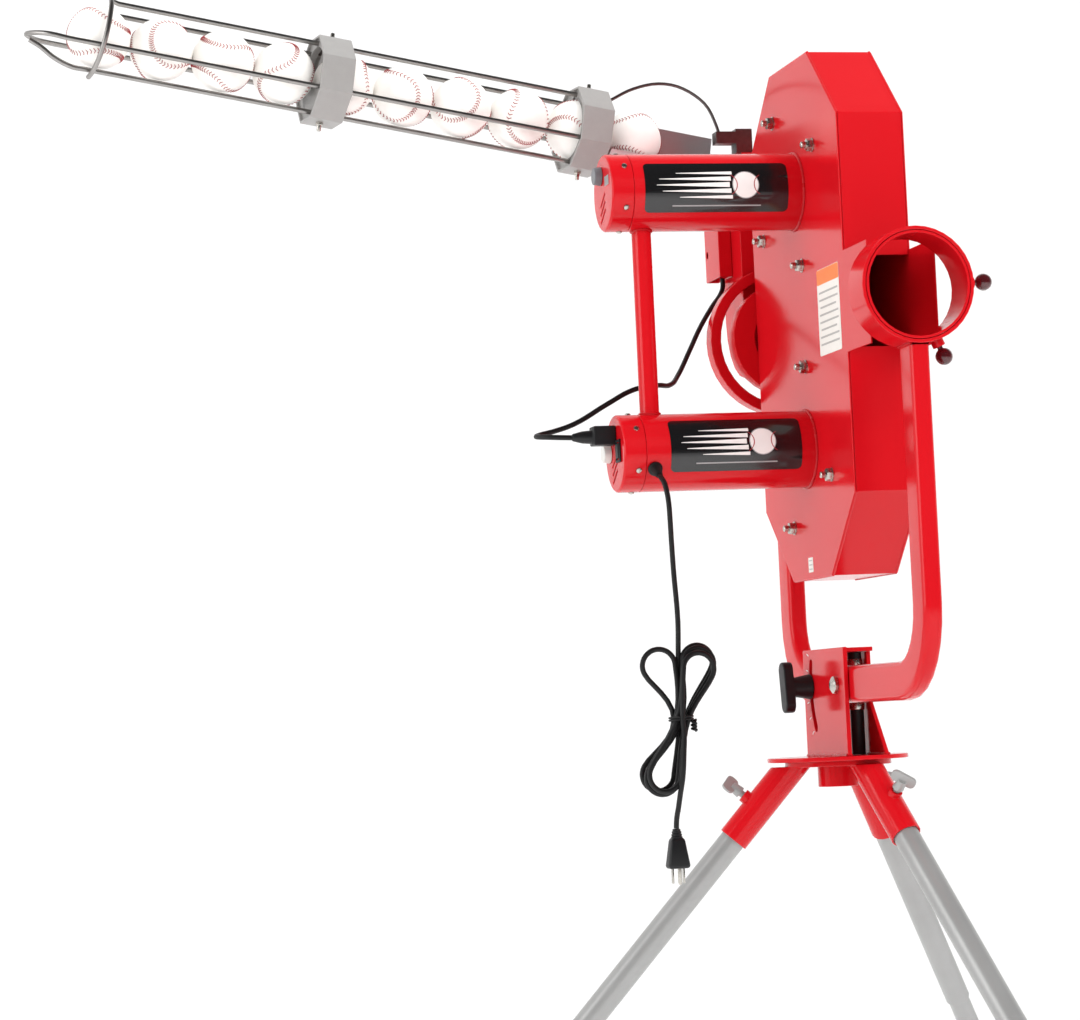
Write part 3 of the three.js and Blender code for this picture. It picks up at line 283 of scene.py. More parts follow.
# Printed vinyl film: black gloss, and the white and silver inks on it.
VINYL_BLACK = Finish("black_gloss_vinyl", "0b0b0d", "111113", 0.2, 0.04, coat=0.5, coat_roughness=0.08,
                     mottle_mm=40, grain_mm=2.0, grain_depth_mm=0.004)
INK_WHITE = Finish("white_ink", "e9e8e6", "dcdad7", 0.35, 0.04, mottle_mm=20, grain_mm=1.0,
                   grain_depth_mm=0.004)
INK_SILVER = Finish("silver_ink", "9b9a9a", "8a8989", 0.35, 0.05, mottle_mm=9, grain_mm=1.0,
                    grain_depth_mm=0.004)
INK_RED = Finish("red_ink", "a5232c", "95202a", 0.35, 0.05, mottle_mm=9, grain_mm=1.0, grain_depth_mm=0.004)
# Coated paper labels.
PAPER_WHITE = Finish("white_paper_label", "e3e0da", "d6d3cc", 0.5, 0.05, mottle_mm=30, grain_mm=0.8,
                     grain_depth_mm=0.01)
PAPER_ORANGE = Finish("orange_paper_label", "f0792a", "e56c20", 0.48, 0.05, mottle_mm=30, grain_mm=0.8,
                      grain_depth_mm=0.01)
PAPER_GREY = Finish("grey_label_print", "a9a7a3", "9c9a97", 0.5, 0.05, mottle_mm=30, grain_mm=0.8,
                    grain_depth_mm=0.01)
LEATHER = PebbledLeather("white_ball_leather", "fbf9f6", "f2eee8", 0.5, 0.06, mottle_mm=22,
                         grain_depth_mm=0.06)
# Waxed cotton thread.
THREAD = Finish("red_waxed_thread", "a8383c", "96292e", 0.55, 0.06, mottle_mm=5, grain_mm=0.3,
                grain_depth_mm=0.03)
STUDIO_FLOOR = Finish("pale_studio_paper", "fbfbfb", "f9f9f9", 0.7, 0.04, mottle_mm=900, grain_mm=1.5,
                      grain_depth_mm=0.01)


# ---------------------------------------------------------------- shared shaping
def revolved(profile: Profile, steps: int = 32) -> bmesh.types.BMesh:
    """Spin a profile of (radius, height) points, in metres, once round the Z axis.

    Args:
        profile: points from one end of the piece to the other.
        steps: how many flats the turned surface has.

    Returns:
        A closed mesh with its normals out.
    """
    bm = bmesh.new()
    verts = [bm.verts.new((r, 0.0, z)) for r, z in profile]
    edges = [bm.edges.new(pair) for pair in zip(verts, verts[1:])]
    bmesh.ops.spin(bm, geom=verts + edges, cent=(0, 0, 0), axis=(0, 0, 1), dvec=(0, 0, 0),
                   angle=math.tau, steps=steps, use_merge=True, use_normal_flip=False, use_duplicate=False)
    bmesh.ops.remove_doubles(bm, verts=bm.verts[:], dist=1e-6)
    bmesh.ops.dissolve_degenerate(bm, dist=1e-7, edges=bm.edges[:])
    bmesh.ops.recalc_face_normals(bm, faces=bm.faces[:])
    return bm


def boxed(size: Point, bevel: float = 0.0, segments: int = 2) -> bmesh.types.BMesh:
    """A box of that size about the origin, with its edges rounded.

    Args:
        size: width, depth and height in metres.
        bevel: the rounding's radius.
        segments: how many flats round each edge.

    Returns:
        A closed mesh.
    """
    bm = bmesh.new()
    bmesh.ops.create_cube(bm, size=1.0)
    bmesh.ops.scale(bm, vec=size, verts=bm.verts[:])
    if bevel > 0:
        bmesh.ops.bevel(bm, geom=bm.edges[:], offset=bevel, offset_type="OFFSET", affect="EDGES",
                        segments=segments, profile=0.5, material=-1)
    return bm


def aimed(at: Vector, direction: Vector, spin: float = 0.0) -> Matrix:
    """The placing that puts a piece's own Z along a direction, from a point.

    Args:
        at: where the piece's origin goes.
        direction: which way its Z points.
        spin: turn about its own Z, in radians.

    Returns:
        The matrix.
    """
    turn = direction.normalized().to_track_quat("Z", "Y").to_matrix().to_4x4()
    return Matrix.Translation(at) @ turn @ Matrix.Rotation(spin, 4, "Z")


def merged(parts: Iterable[bmesh.types.BMesh]) -> bmesh.types.BMesh:
    """Gather several meshes in one, keeping each one's shells and material numbers."""
    whole = bmesh.new()
    for part in parts:
        scratch = bpy.data.meshes.new("scratch")
        part.to_mesh(scratch)
        part.free()
        whole.from_mesh(scratch)
        bpy.data.meshes.remove(scratch)
    return whole


def placed(bm: bmesh.types.BMesh, matrix: Matrix, material: int = 0) -> bmesh.types.BMesh:
    """Put a mesh in its place and give its faces a material number."""
    bmesh.ops.transform(bm, matrix=matrix, verts=bm.verts[:])
    for face in bm.faces:
        face.material_index = material
    return bm


def tube_along(points: Sequence[Vector], radius: float, sides: int = 8) -> bmesh.types.BMesh:
    """A thin round rod that follows points, closed at both ends.

    Args:
        points: the rod's middle line.
        radius: the rod's radius.
        sides: flats round the rod.

    Returns:
        A closed mesh.
    """
    bm = bmesh.new()
    rings = []
    across = None
    for i, point in enumerate(points):
        ahead = (points[min(i + 1, len(points) - 1)] - points[max(i - 1, 0)]).normalized()
        if across is None:
            across = ahead.orthogonal().normalized()
        across = (across - ahead * across.dot(ahead)).normalized()
        other = ahead.cross(across)
        rings.append([bm.verts.new(point + radius * (math.cos(a) * across + math.sin(a) * other))
                      for a in (math.tau * k / sides for k in range(sides))])
    for ring, following in zip(rings, rings[1:]):
        for k in range(sides):
            bm.faces.new((ring[k], ring[(k + 1) % sides], following[(k + 1) % sides], following[k]))
    bm.faces.new(rings[0][::-1])
    bm.faces.new(rings[-1])
    bmesh.ops.recalc_face_normals(bm, faces=bm.faces[:])
    return bm


@dataclass
class Shop:
    """Turns meshes into named pieces on their bodies, and knows where the frame's nodes are."""

    frame: dict
    made: list[str] = field(default_factory=list)

    def body_of(self, node: str) -> str:
        """The body a CAD node belongs to."""
        bodies = self.frame["record"]["behaviour"]["bodies"]
        return next(body for body, nodes in bodies.items() if node in nodes)

    def low(self, node: str) -> Vector:
        """The lowest corner of a node's box."""
        return Vector(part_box(node)[0])

    def high(self, node: str) -> Vector:
        """The highest corner of a node's box."""
        return Vector(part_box(node)[1])

    def middle(self, node: str) -> Vector:
        """The middle of a node's box."""
        return (self.low(node) + self.high(node)) / 2

    def piece(self, name: str, bm: bmesh.types.BMesh, finishes: Sequence[Finish], body: str,
              replaces: Sequence[str] = (), smooth_degrees: float = 35.0) -> bpy.types.Object:
        """Make a piece from a mesh, dress it and let it ride on a body.

        Args:
            name: the piece's name.
            bm: its mesh, already in place.
            finishes: one for each material number of the mesh.
            body: the CAD body it moves with.
            replaces: the CAD nodes it stands for.
            smooth_degrees: edges sharper than this stay crisp.

        Returns:
            The new object.
        """
        mesh = bpy.data.meshes.new(name)
        bm.to_mesh(mesh)
        bm.free()
        mesh.shade_smooth()
        mesh.set_sharp_from_angle(angle=math.radians(smooth_degrees))
        for finish in finishes:
            mesh.materials.append(finish.material())
        made = bpy.data.objects.new(name, mesh)
        bpy.context.scene.collection.objects.link(made)
        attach(made, body)
        if replaces:
            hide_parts(*replaces)
        self.made.append(name)
        LOG.info("%s: %d faces on %s", name, len(mesh.polygons), body)
        return made

    def eased(self, node: str, finish: Finish, edge_mm: float = 0.5, crisp_degrees: float = 35.0) -> None:
        """Replace a CAD node by the same shape with its sharp edges eased, as a deburred part's are.

        Args:
            node: the CAD node.
            finish: what it is coated with.
            edge_mm: the radius of the easing.
            crisp_degrees: edges sharper than this are eased, and the rest shade as curved.
        """
        bm = bmesh.new()
        bm.from_mesh(self.frame["nodes"][node].data)
        bmesh.ops.remove_doubles(bm, verts=bm.verts[:], dist=2e-6)
        bmesh.ops.dissolve_limit(bm, angle_limit=math.radians(0.5), use_dissolve_boundaries=False,
                                 verts=bm.verts[:], edges=bm.edges[:])
        sharp = [e for e in bm.edges
                 if len(e.link_faces) == 2 and e.calc_face_angle(0) > math.radians(crisp_degrees)]
        bmesh.ops.bevel(bm, geom=sharp, offset=edge_mm * MM, offset_type="OFFSET", affect="EDGES",
                        segments=2, profile=0.5, material=-1)
        bmesh.ops.triangulate(bm, faces=[f for f in bm.faces if len(f.verts) > 4])
        made = self.piece(f"{node}_finished", bm, [finish], self.body_of(node), [node], crisp_degrees)
        weighted = made.modifiers.new("even_shading", "WEIGHTED_NORMAL")
        weighted.keep_sharp = True


class Across(Enum):
    """The two motors, by where they sit."""

    UPPER = "upper"
    LOWER = "lower"


# ---------------------------------------------------------------- the machine's pieces
@dataclass
class Assembly:
    """A group of pieces. Its places are measured from the middle of the wheel housing."""

    shop: Shop
    origin: Vector

    def at(self, x: float, y: float, z: float) -> Vector:
        """A place given in millimetres from the middle of the housing."""
        return self.origin + Vector((x, y, z)) * MM


@dataclass
class WheelHousing(Assembly):
    """The octagonal box round the two wheels, the barrel in front and the drum behind."""

    cover_x: float = 39.5
    nut_across: float = 13.0
    nut_height: float = 6.5
    washer_r: float = 8.0
    stud_r: float = 3.8
    stud_height: float = 14.5
    bolt_places: tuple = ((65, 243), (-80, 191), (122, 111), (-21, 61), (-16, -56), (-91, -187), (56, -238))

    def build(self) -> None:
        """Make every piece of the housing."""
        for node in ("housing_left_cover", "housing_right_cover"):
            self.shop.eased(node, ENAMEL, 0.9)
        for node in ("housing_upper_wrap", "housing_lower_wrap", "barrel_tube", "rear_drum"):
            self.shop.eased(node, ENAMEL, 0.6)
        self.bolts()
        self.flange_lip()
        self.caution_label()
        self.inspection_sticker()

    def hex_bolt(self) -> bmesh.types.BMesh:
        """A washer, a hex nut with chamfered corners and the domed end of its stud, along +Z."""
        washer = revolved([(0, 0), (self.washer_r * MM, 0), (self.washer_r * MM, 1.3 * MM), (0, 1.3 * MM)], 24)
        nut = bmesh.new()
        bmesh.ops.create_cone(nut, cap_ends=True, cap_tris=False, segments=6,
                              radius1=self.nut_across * MM / math.sqrt(3),
                              radius2=self.nut_across * MM / math.sqrt(3), depth=self.nut_height * MM)
        top = [e for e in nut.edges if all(v.co.z > 0 for v in e.verts)]
        bmesh.ops.bevel(nut, geom=top, offset=0.9 * MM, offset_type="OFFSET", affect="EDGES", segments=2,
                        profile=0.5, material=-1)
        placed(nut, Matrix.Translation((0, 0, (1.3 + self.nut_height / 2) * MM)))
        r, h = self.stud_r * MM, self.stud_height * MM
        stud = revolved([(0, MM), (r, MM), (r, h - 1.4 * MM), (r * 0.8, h - 0.5 * MM), (r * 0.4, h), (0, h)], 16)
        return merged([washer, nut, stud])

    def bolts(self) -> None:
        """The through bolts: nuts on the near cover, rounded heads on the far one."""
        near, far = [], []
        for i, (y, z) in enumerate(self.bolt_places):
            near.append(placed(self.hex_bolt(), aimed(self.at(-self.cover_x - 0.05, y, z), Vector((-1, 0, 0)),
                                                      0.4 + i * 0.7)))
            dome = revolved([(0, 0), (7.5 * MM, 0), (7.2 * MM, 1.6 * MM), (5 * MM, 3.6 * MM), (0, 4.4 * MM)], 20)
            far.append(placed(dome, aimed(self.at(self.cover_x + 0.05, y, z), Vector((1, 0, 0)))))
        self.shop.piece("cover_nuts", merged(near), [SCREW_ZINC], "head")
        self.shop.piece("cover_bolt_heads", merged(far), [SCREW_ZINC], "head")

    def flange_lip(self) -> None:
        """The wrap's own welded seam: a low rounded bead all round, just inside each cover's edge."""
        upper, lower = self.shop.high("housing_upper_wrap"), self.shop.low("housing_lower_wrap")
        half_y, half_z = (upper.y - lower.y) / 2 / MM, (upper.z - lower.z) / 2 / MM
        cut_y, cut_z = 96.0, 88.0
        ring = [(-half_y + cut_y, half_z), (-half_y, half_z - cut_z), (-half_y, -half_z + cut_z),
                (-half_y + cut_y, -half_z), (half_y - cut_y, -half_z), (half_y, -half_z + cut_z),
                (half_y, half_z - cut_z), (half_y - cut_y, half_z)]
        beads = []
        for side in (-1, 1):
            x = side * (self.cover_x - 2.2)
            for n, ((y0, z0), (y1, z1)) in enumerate(zip(ring, ring[1:] + ring[:1])):
                if n == 1:
                    continue
                beads.append(tube_along([self.at(x, y0, z0), self.at(x, y1, z1)], 1.1 * MM, 8))
        self.shop.piece("wrap_seam_beads", merged(beads), [ENAMEL], "head")

    def flat_label(self, y: float, z: float, wide: float, tall: float, height: float,
                   corner: float) -> bmesh.types.BMesh:
        """A thin rounded label on the near cover, about a place, standing off by a small height."""
        label = boxed((wide * MM, tall * MM, 0.2 * MM))
        upright = [e for e in label.edges if abs(e.verts[0].co.z - e.verts[1].co.z) > 0.1 * MM]
        bmesh.ops.bevel(label, geom=upright, offset=corner * MM, offset_type="OFFSET", affect="EDGES",
                        segments=3, profile=0.5, material=-1)
        # the label's own x runs along -Y, its y up, and its face looks towards -X
        turn = Matrix(((0, 0, -1, 0), (-1, 0, 0, 0), (0, 1, 0, 0), (0, 0, 0, 1)))
        return placed(label, Matrix.Translation(self.at(-self.cover_x - 0.15 - height, y, z)) @ turn)

    def caution_label(self) -> None:
        """The tall paper label on the ear, with an orange heading and plain grey rules."""
        y, z, wide, tall = -111.0, -2.0, 78.0, 98.0
        body = self.flat_label(y, z, wide, tall, 0, 3)
        head = placed(self.flat_label(y, z + tall / 2 - 9, wide - 1, 17, 0.15, 2), Matrix(), 1)
        rules = [placed(self.flat_label(y + (2 if n % 3 == 2 else 0), z + 22 - 8.4 * n,
                                        wide - (22 if n % 3 == 2 else 12), 2.2, 0.15, 0.4), Matrix(), 2)
                 for n in range(8)]
        self.shop.piece("caution_label", merged([body, head, *rules]),
                        [PAPER_WHITE, PAPER_ORANGE, PAPER_GREY], "head")

    def inspection_sticker(self) -> None:
        """The small square sticker at the foot of the near cover."""
        body = self.flat_label(2, -284, 17, 17, 0, 1)
        rules = [placed(self.flat_label(2, -279 - 5 * n, 12, 1.4, 0.15, 0.3), Matrix(), 1) for n in range(3)]
        self.shop.piece("inspection_sticker", merged([body, *rules]), [PAPER_WHITE, PAPER_GREY], "head")


@dataclass
class Motors(Assembly):
    """Two cylindrical motors with their caps, controls, labels and the brace between them."""

    radius: float = 44.5
    end_x: float = -267.5
    wheel_z: float = 150.0
    film: float = 0.25

    def build(self) -> None:
        """Make every piece of both motors."""
        for across in Across:
            name = across.value
            z = self.wheel_z if across is Across.UPPER else -self.wheel_z
            self.shop.eased(f"{name}_motor_can", ENAMEL, 0.6)
            self.shop.eased(f"{name}_motor_cap", ENAMEL, 0.9)
            self.shop.eased(f"{name}_wheel_drive", ALLOY, 0.8)
            self.shop.eased(f"{name}_tyre", TYRE, 1.2)
            self.cap_screws(name, z)
            self.label(name, z, *((-229, -59, 60.6, 0.0) if across is Across.UPPER else (-213, -58, 64.5, 7.0)))
            self.cover_flange(name, z)
        self.shop.eased("upper_speed_dial", GREY_ABS, 0.8)
        self.shop.eased("lower_speed_dial", WHITE_ABS, 0.8)
        self.shop.eased("power_switch", NYLON, 1.0)
        self.shop.eased("motor_brace_tube", ENAMEL, 0.6)
        self.switch_bezel()
        self.spec_sticker()
        self.brace_welds()

    def cap_screws(self, name: str, z: float) -> None:
        """Small pan-head screws round the can near its outer end."""
        heads = []
        for degrees in (-150, -90, -30, 35, 90, 145):
            a = math.radians(degrees)
            out = Vector((0, math.cos(a), math.sin(a)))
            head = revolved([(0, 0), (3.4 * MM, 0), (3.1 * MM, 1.2 * MM), (1.6 * MM, 2.0 * MM), (0, 2.1 * MM)], 14)
            place = self.at(self.end_x + 17, self.radius * out.y - 0.1, z + self.radius * out.z)
            heads.append(placed(head, aimed(place, out)))
        self.shop.piece(f"{name}_cap_screws", merged(heads), [SCREW_ZINC], "head")

    def cover_flange(self, name: str, z: float) -> None:
        """The low fillet weld that carries the can on the housing's cover."""
        x = -39.6
        ring = []
        for k in range(49):
            a = math.tau * k / 48
            ring.append(self.at(x - 0.9, (self.radius + 0.3) * math.cos(a), z + (self.radius + 0.3) * math.sin(a)))
        self.shop.piece(f"{name}_can_weld", tube_along(ring, 1.6 * MM, 8), [ENAMEL_WELD], "head")

    def on_can(self, outline: Sequence[tuple[float, float]], x: float, degrees: float, z: float,
               lift: float) -> bmesh.types.BMesh:
        """Wrap a flat outline round the can.

        Args:
            outline: corners as (along the can towards +X, up round it) in millimetres.
            x: where the outline's own middle lies along the can.
            degrees: how far its middle is turned up from straight ahead.
            z: the motor's height.
            lift: how far the film stands off the can.

        Returns:
            A closed film, with its material number 0.
        """
        bm = bmesh.new()
        face = bm.faces.new([bm.verts.new((u * MM, v * MM, 0)) for u, v in outline])
        lo, hi = min(v for _, v in outline), max(v for _, v in outline)
        slices = max(2, int((hi - lo) / 4))
        for k in range(1, slices):
            level = (lo + (hi - lo) * k / slices) * MM
            bmesh.ops.bisect_plane(bm, geom=bm.verts[:] + bm.edges[:] + bm.faces[:],
                                   plane_co=(0, level, 0), plane_no=(0, 1, 0))
        shell = bmesh.ops.extrude_face_region(bm, geom=bm.faces[:])
        raised = [v for v in shell["geom"] if isinstance(v, bmesh.types.BMVert)]
        bmesh.ops.translate(bm, verts=raised, vec=(0, 0, self.film * MM))
        for vert in bm.verts:
            u, v, h = vert.co
            a = math.radians(degrees) + v / (self.radius * MM)
            r = (self.radius + lift) * MM + h
            vert.co = self.at(x, 0, z) + Vector((u, -r * math.cos(a), r * math.sin(a)))
        bmesh.ops.recalc_face_normals(bm, faces=bm.faces[:])
        return bm

    @staticmethod
    def rounded(wide: float, tall: float, corner: float, steps: int = 5) -> list[tuple[float, float]]:
        """Corners of a rounded rectangle about the origin."""
        points = []
        for cx, cy, start in ((1, 1, 0), (-1, 1, 90), (-1, -1, 180), (1, -1, 270)):
            for k in range(steps + 1):
                a = math.radians(start + 90 * k / steps)
                points.append((cx * (wide / 2 - corner) + corner * math.cos(a),
                               cy * (tall / 2 - corner) + corner * math.sin(a)))
        return points

    @staticmethod
    def disc(x: float, y: float, r: float, steps: int = 28) -> list[tuple[float, float]]:
        """Corners of a disc about a point."""
        return [(x + r * math.cos(math.tau * k / steps), y + r * math.sin(math.tau * k / steps))
                for k in range(steps)]

    @staticmethod
    def streak(x0: float, x1: float, y: float, thick: float) -> list[tuple[float, float]]:
        """Corners of a speed line that widens towards its front end."""
        return [(x0, y - 0.3), (x1, y - thick / 2), (x1, y + thick / 2), (x0, y + 0.3)]

    def label(self, name: str, z: float, x0: float, x1: float, tall: float, degrees: float) -> None:
        """The black rounded label, with a plain ball and its speed lines instead of any lettering."""
        wide = x1 - x0
        x = (x0 + x1) / 2
        film = placed(self.on_can(self.rounded(wide, tall, 6), x, degrees, z, 0.05), Matrix(), 0)
        ball_x = wide * 0.2
        inks = [(self.disc(ball_x, 2, 16), 0.2, 1), (self.disc(ball_x, 2, 15), 0.3, 2)]
        for y, start, thick in ((14, -0.28, 4.0), (7, -0.40, 5.2), (0, -0.42, 5.8), (-7, -0.38, 5.2), (-14, -0.26, 4.0)):
            inks.append((self.streak(wide * start, ball_x - 19 + abs(y) * 0.25, y + 2, thick), 0.2, 2))
        inks.append((self.rounded(wide * 0.62, 1.6, 0.5, 2), 0.2, 1))
        prints = []
        for n, (outline, lift, material) in enumerate(inks):
            if n == len(inks) - 1:
                outline = [(u, v - 22) for u, v in outline]
            prints.append(placed(self.on_can(outline, x, degrees, z, lift), Matrix(), material))
        for side in (-1, 1):
            arc = [(ball_x + side * (22 - 12.5 * math.cos(t)), 2 + 12.5 * math.sin(t)) for t in
                   [math.radians(-62 + 124 * k / 8) for k in range(9)]]
            inner = [(u + side * 1.1, v) for u, v in arc]
            prints.append(placed(self.on_can(arc + inner[::-1], x, degrees, z, 0.42), Matrix(), 3))
        self.shop.piece(f"{name}_motor_label", merged([film, *prints]),
                        [VINYL_BLACK, INK_SILVER, INK_WHITE, INK_RED], "head")

    def switch_bezel(self) -> None:
        """The raised frame round the rocker switch."""
        rocker = self.shop.middle("power_switch")
        face = self.origin.x + self.end_x * MM
        rim = []
        for u, v, wide, tall in ((0, 8.3, 26, 2.4), (0, -8.3, 26, 2.4), (11.6, 0, 2.8, 14.4),
                                 (-11.6, 0, 2.8, 14.4)):
            bar = boxed((tall * MM, wide * MM, 2 * MM), 0.5 * MM)
            rim.append(placed(bar, aimed(Vector((face - 1.1 * MM, rocker.y + v * MM, rocker.z + u * MM)),
                                         Vector((-1, 0, 0)), 0)))
        self.shop.piece("rocker_bezel", merged(rim), [NYLON], "head")

    def spec_sticker(self) -> None:
        """The clear grey rating sticker on the upper motor's cap."""
        film = boxed((0.2 * MM, 18 * MM, 11 * MM))
        place = Matrix.Translation(self.at(self.end_x - 0.15, -19, self.wheel_z + 12))
        self.shop.piece("rating_sticker", placed(film, place), [INK_SILVER], "head")

    def brace_welds(self) -> None:
        """Fillet welds where the brace tube meets both cans."""
        low, high = self.shop.low("motor_brace_tube"), self.shop.high("motor_brace_tube")
        middle = (low + high) / 2
        r = (high.x - low.x) / 2
        welds = []
        for side in (-1, 1):
            loop = []
            for k in range(33):
                a = math.tau * k / 32
                y = r * math.sin(a)
                drop = math.sqrt((self.radius * MM) ** 2 - y * y)
                z = self.origin.z + side * (self.wheel_z * MM - drop - 0.4 * MM)
                loop.append(Vector((middle.x + (r + 0.3 * MM) * math.cos(a), middle.y + y * 1.03, z)))
            welds.append(tube_along(loop, 1.7 * MM, 8))
        self.shop.piece("brace_welds", merged(welds), [ENAMEL_WELD], "head")


@dataclass
class YokeAndTower(Assembly):
    """The U yoke with its two rings, the tilt tower and their clamping knobs."""

    pivot_z: float = -423.5
    slot_r: float = 96.0

    def build(self) -> None:
        """Make every piece of the yoke and the tower."""
        self.shop.eased("yoke_frame", ENAMEL, 0.5)
        self.shop.eased("front_ring", ENAMEL, 1.0)
        self.shop.eased("rear_ring", ENAMEL, 1.2)
        for node in ("tower_left_plate", "tower_right_plate", "swivel_plate"):
            self.shop.eased(node, ENAMEL, 0.7)
        self.shop.eased("tower_post", NYLON, 0.6)
        self.shop.eased("tilt_pivot_bolt", SCREW_ZINC, 0.5)
        self.shop.eased("tilt_lock_knob", NYLON, 1.6, 50)
        for n in (1, 2):
            self.shop.eased(f"ring_lock_knob_{n}", PHENOLIC, 0.3, 50)
        self.ring_welds()
        self.post_collars()
        self.tilt_scale()
        self.plate_welds()

    def ring_welds(self) -> None:
        """Fillet welds where the yoke's arms end on the rings."""
        welds = []
        for ring in ("front_ring", "rear_ring"):
            low, high = self.shop.low(ring), self.shop.high(ring)
            y = (low.y + high.y) / 2
            r = (self.shop.high("front_ring").z - self.origin.z) if ring == "front_ring" else (high.z - low.z) / 2
            reach = 21 * MM if ring == "front_ring" else 10 * MM
            for x in (-11 * MM, 11 * MM):
                z = self.origin.z - math.sqrt(max(r * r - x * x, 0)) - 0.6 * MM
                welds.append(tube_along([Vector((self.origin.x + x, y - reach, z)),
                                         Vector((self.origin.x + x, y + reach, z))], 1.6 * MM, 8))
        self.shop.piece("ring_welds", merged(welds), [ENAMEL_WELD], "yoke")

    def post_collars(self) -> None:
        """Bright split collars on the post, just above and below the yoke's bar."""
        post = self.shop.middle("tower_post")
        collars = []
        for z in (-398.0, -449.0):
            r0, r1 = 8.1 * MM, 9.3 * MM
            ring = revolved([(r0, -4 * MM), (r1 - 0.5 * MM, -4 * MM), (r1, -3 * MM), (r1, 3 * MM), (r1 - 0.5 * MM, 4 * MM),
                             (r0, 4 * MM), (r0, -4 * MM)], 28)
            place = Vector((post.x, post.y, self.origin.z + z * MM))
            collars.append(placed(ring, Matrix.Translation(place)))
        self.shop.piece("post_collars", merged(collars), [SCREW_ZINC], "tower")

    def tilt_scale(self) -> None:
        """Short raised ticks beside the curved slot that show the tilt."""
        x = self.shop.low("tower_left_plate").x
        ticks = []
        for degrees in range(-30, 25, 10):
            a = math.radians(degrees)
            tick = boxed((0.3 * MM, 7 * MM, 1.2 * MM), 0.1 * MM, 1)
            r = self.slot_r + 13
            spot = Vector((x - 0.1 * MM, self.origin.y + r * math.cos(a) * MM,
                           self.origin.z + (self.pivot_z + r * math.sin(a)) * MM))
            ticks.append(placed(tick, Matrix.Translation(spot) @ Matrix.Rotation(a, 4, "X")))
        self.shop.piece("tilt_scale_ticks", merged(ticks), [INK_WHITE], "tower")

    def plate_welds(self) -> None:
        """Weld beads along the feet of both tower plates."""
        welds = []
        for node in ("tower_left_plate", "tower_right_plate"):
            low, high = self.shop.low(node), self.shop.high(node)
            for x in (low.x if node == "tower_left_plate" else high.x - 5 * MM,
                      low.x + 5 * MM if node == "tower_left_plate" else high.x):
                welds.append(tube_along([Vector((x, low.y + 2 * MM, low.z + 0.6 * MM)),
                                         Vector((x, high.y - 2 * MM, low.z + 0.6 * MM))], 1.8 * MM, 8))
        self.shop.piece("tower_foot_welds", merged(welds), [ENAMEL_WELD], "tower")


@dataclass
class Tripod(Assembly):
    """The hub with its three sockets, the telescoping legs, their feet and wing bolts."""

    def build(self) -> None:
        """Make every piece of the tripod."""
        self.shop.eased("tripod_hub", ENAMEL, 0.7, 40)
        for n in (1, 2, 3):
            self.shop.eased(f"leg_{n}_upper_tube", LEG_PAINT, 0.4)
            self.shop.eased(f"leg_{n}_lower_tube", LEG_PAINT, 0.4)
            self.shop.eased(f"leg_{n}_foot", FOOT_RUBBER, 1.0)
            self.shop.eased(f"leg_{n}_wing_bolt", LEG_PAINT, 0.6, 50)


@dataclass
class FeedChute(Assembly):
    """The upright chute behind the housing, with the feeder's cover and cam."""

    def build(self) -> None:
        """Make every piece of the feeder."""
        self.shop.eased("feed_chute", ENAMEL, 0.5)
        self.shop.eased("feeder_cover", ENAMEL, 1.2)
        self.shop.eased("feeder_cam", NYLON, 0.6)
        self.shop.eased("feeder_plug", NYLON, 1.5)


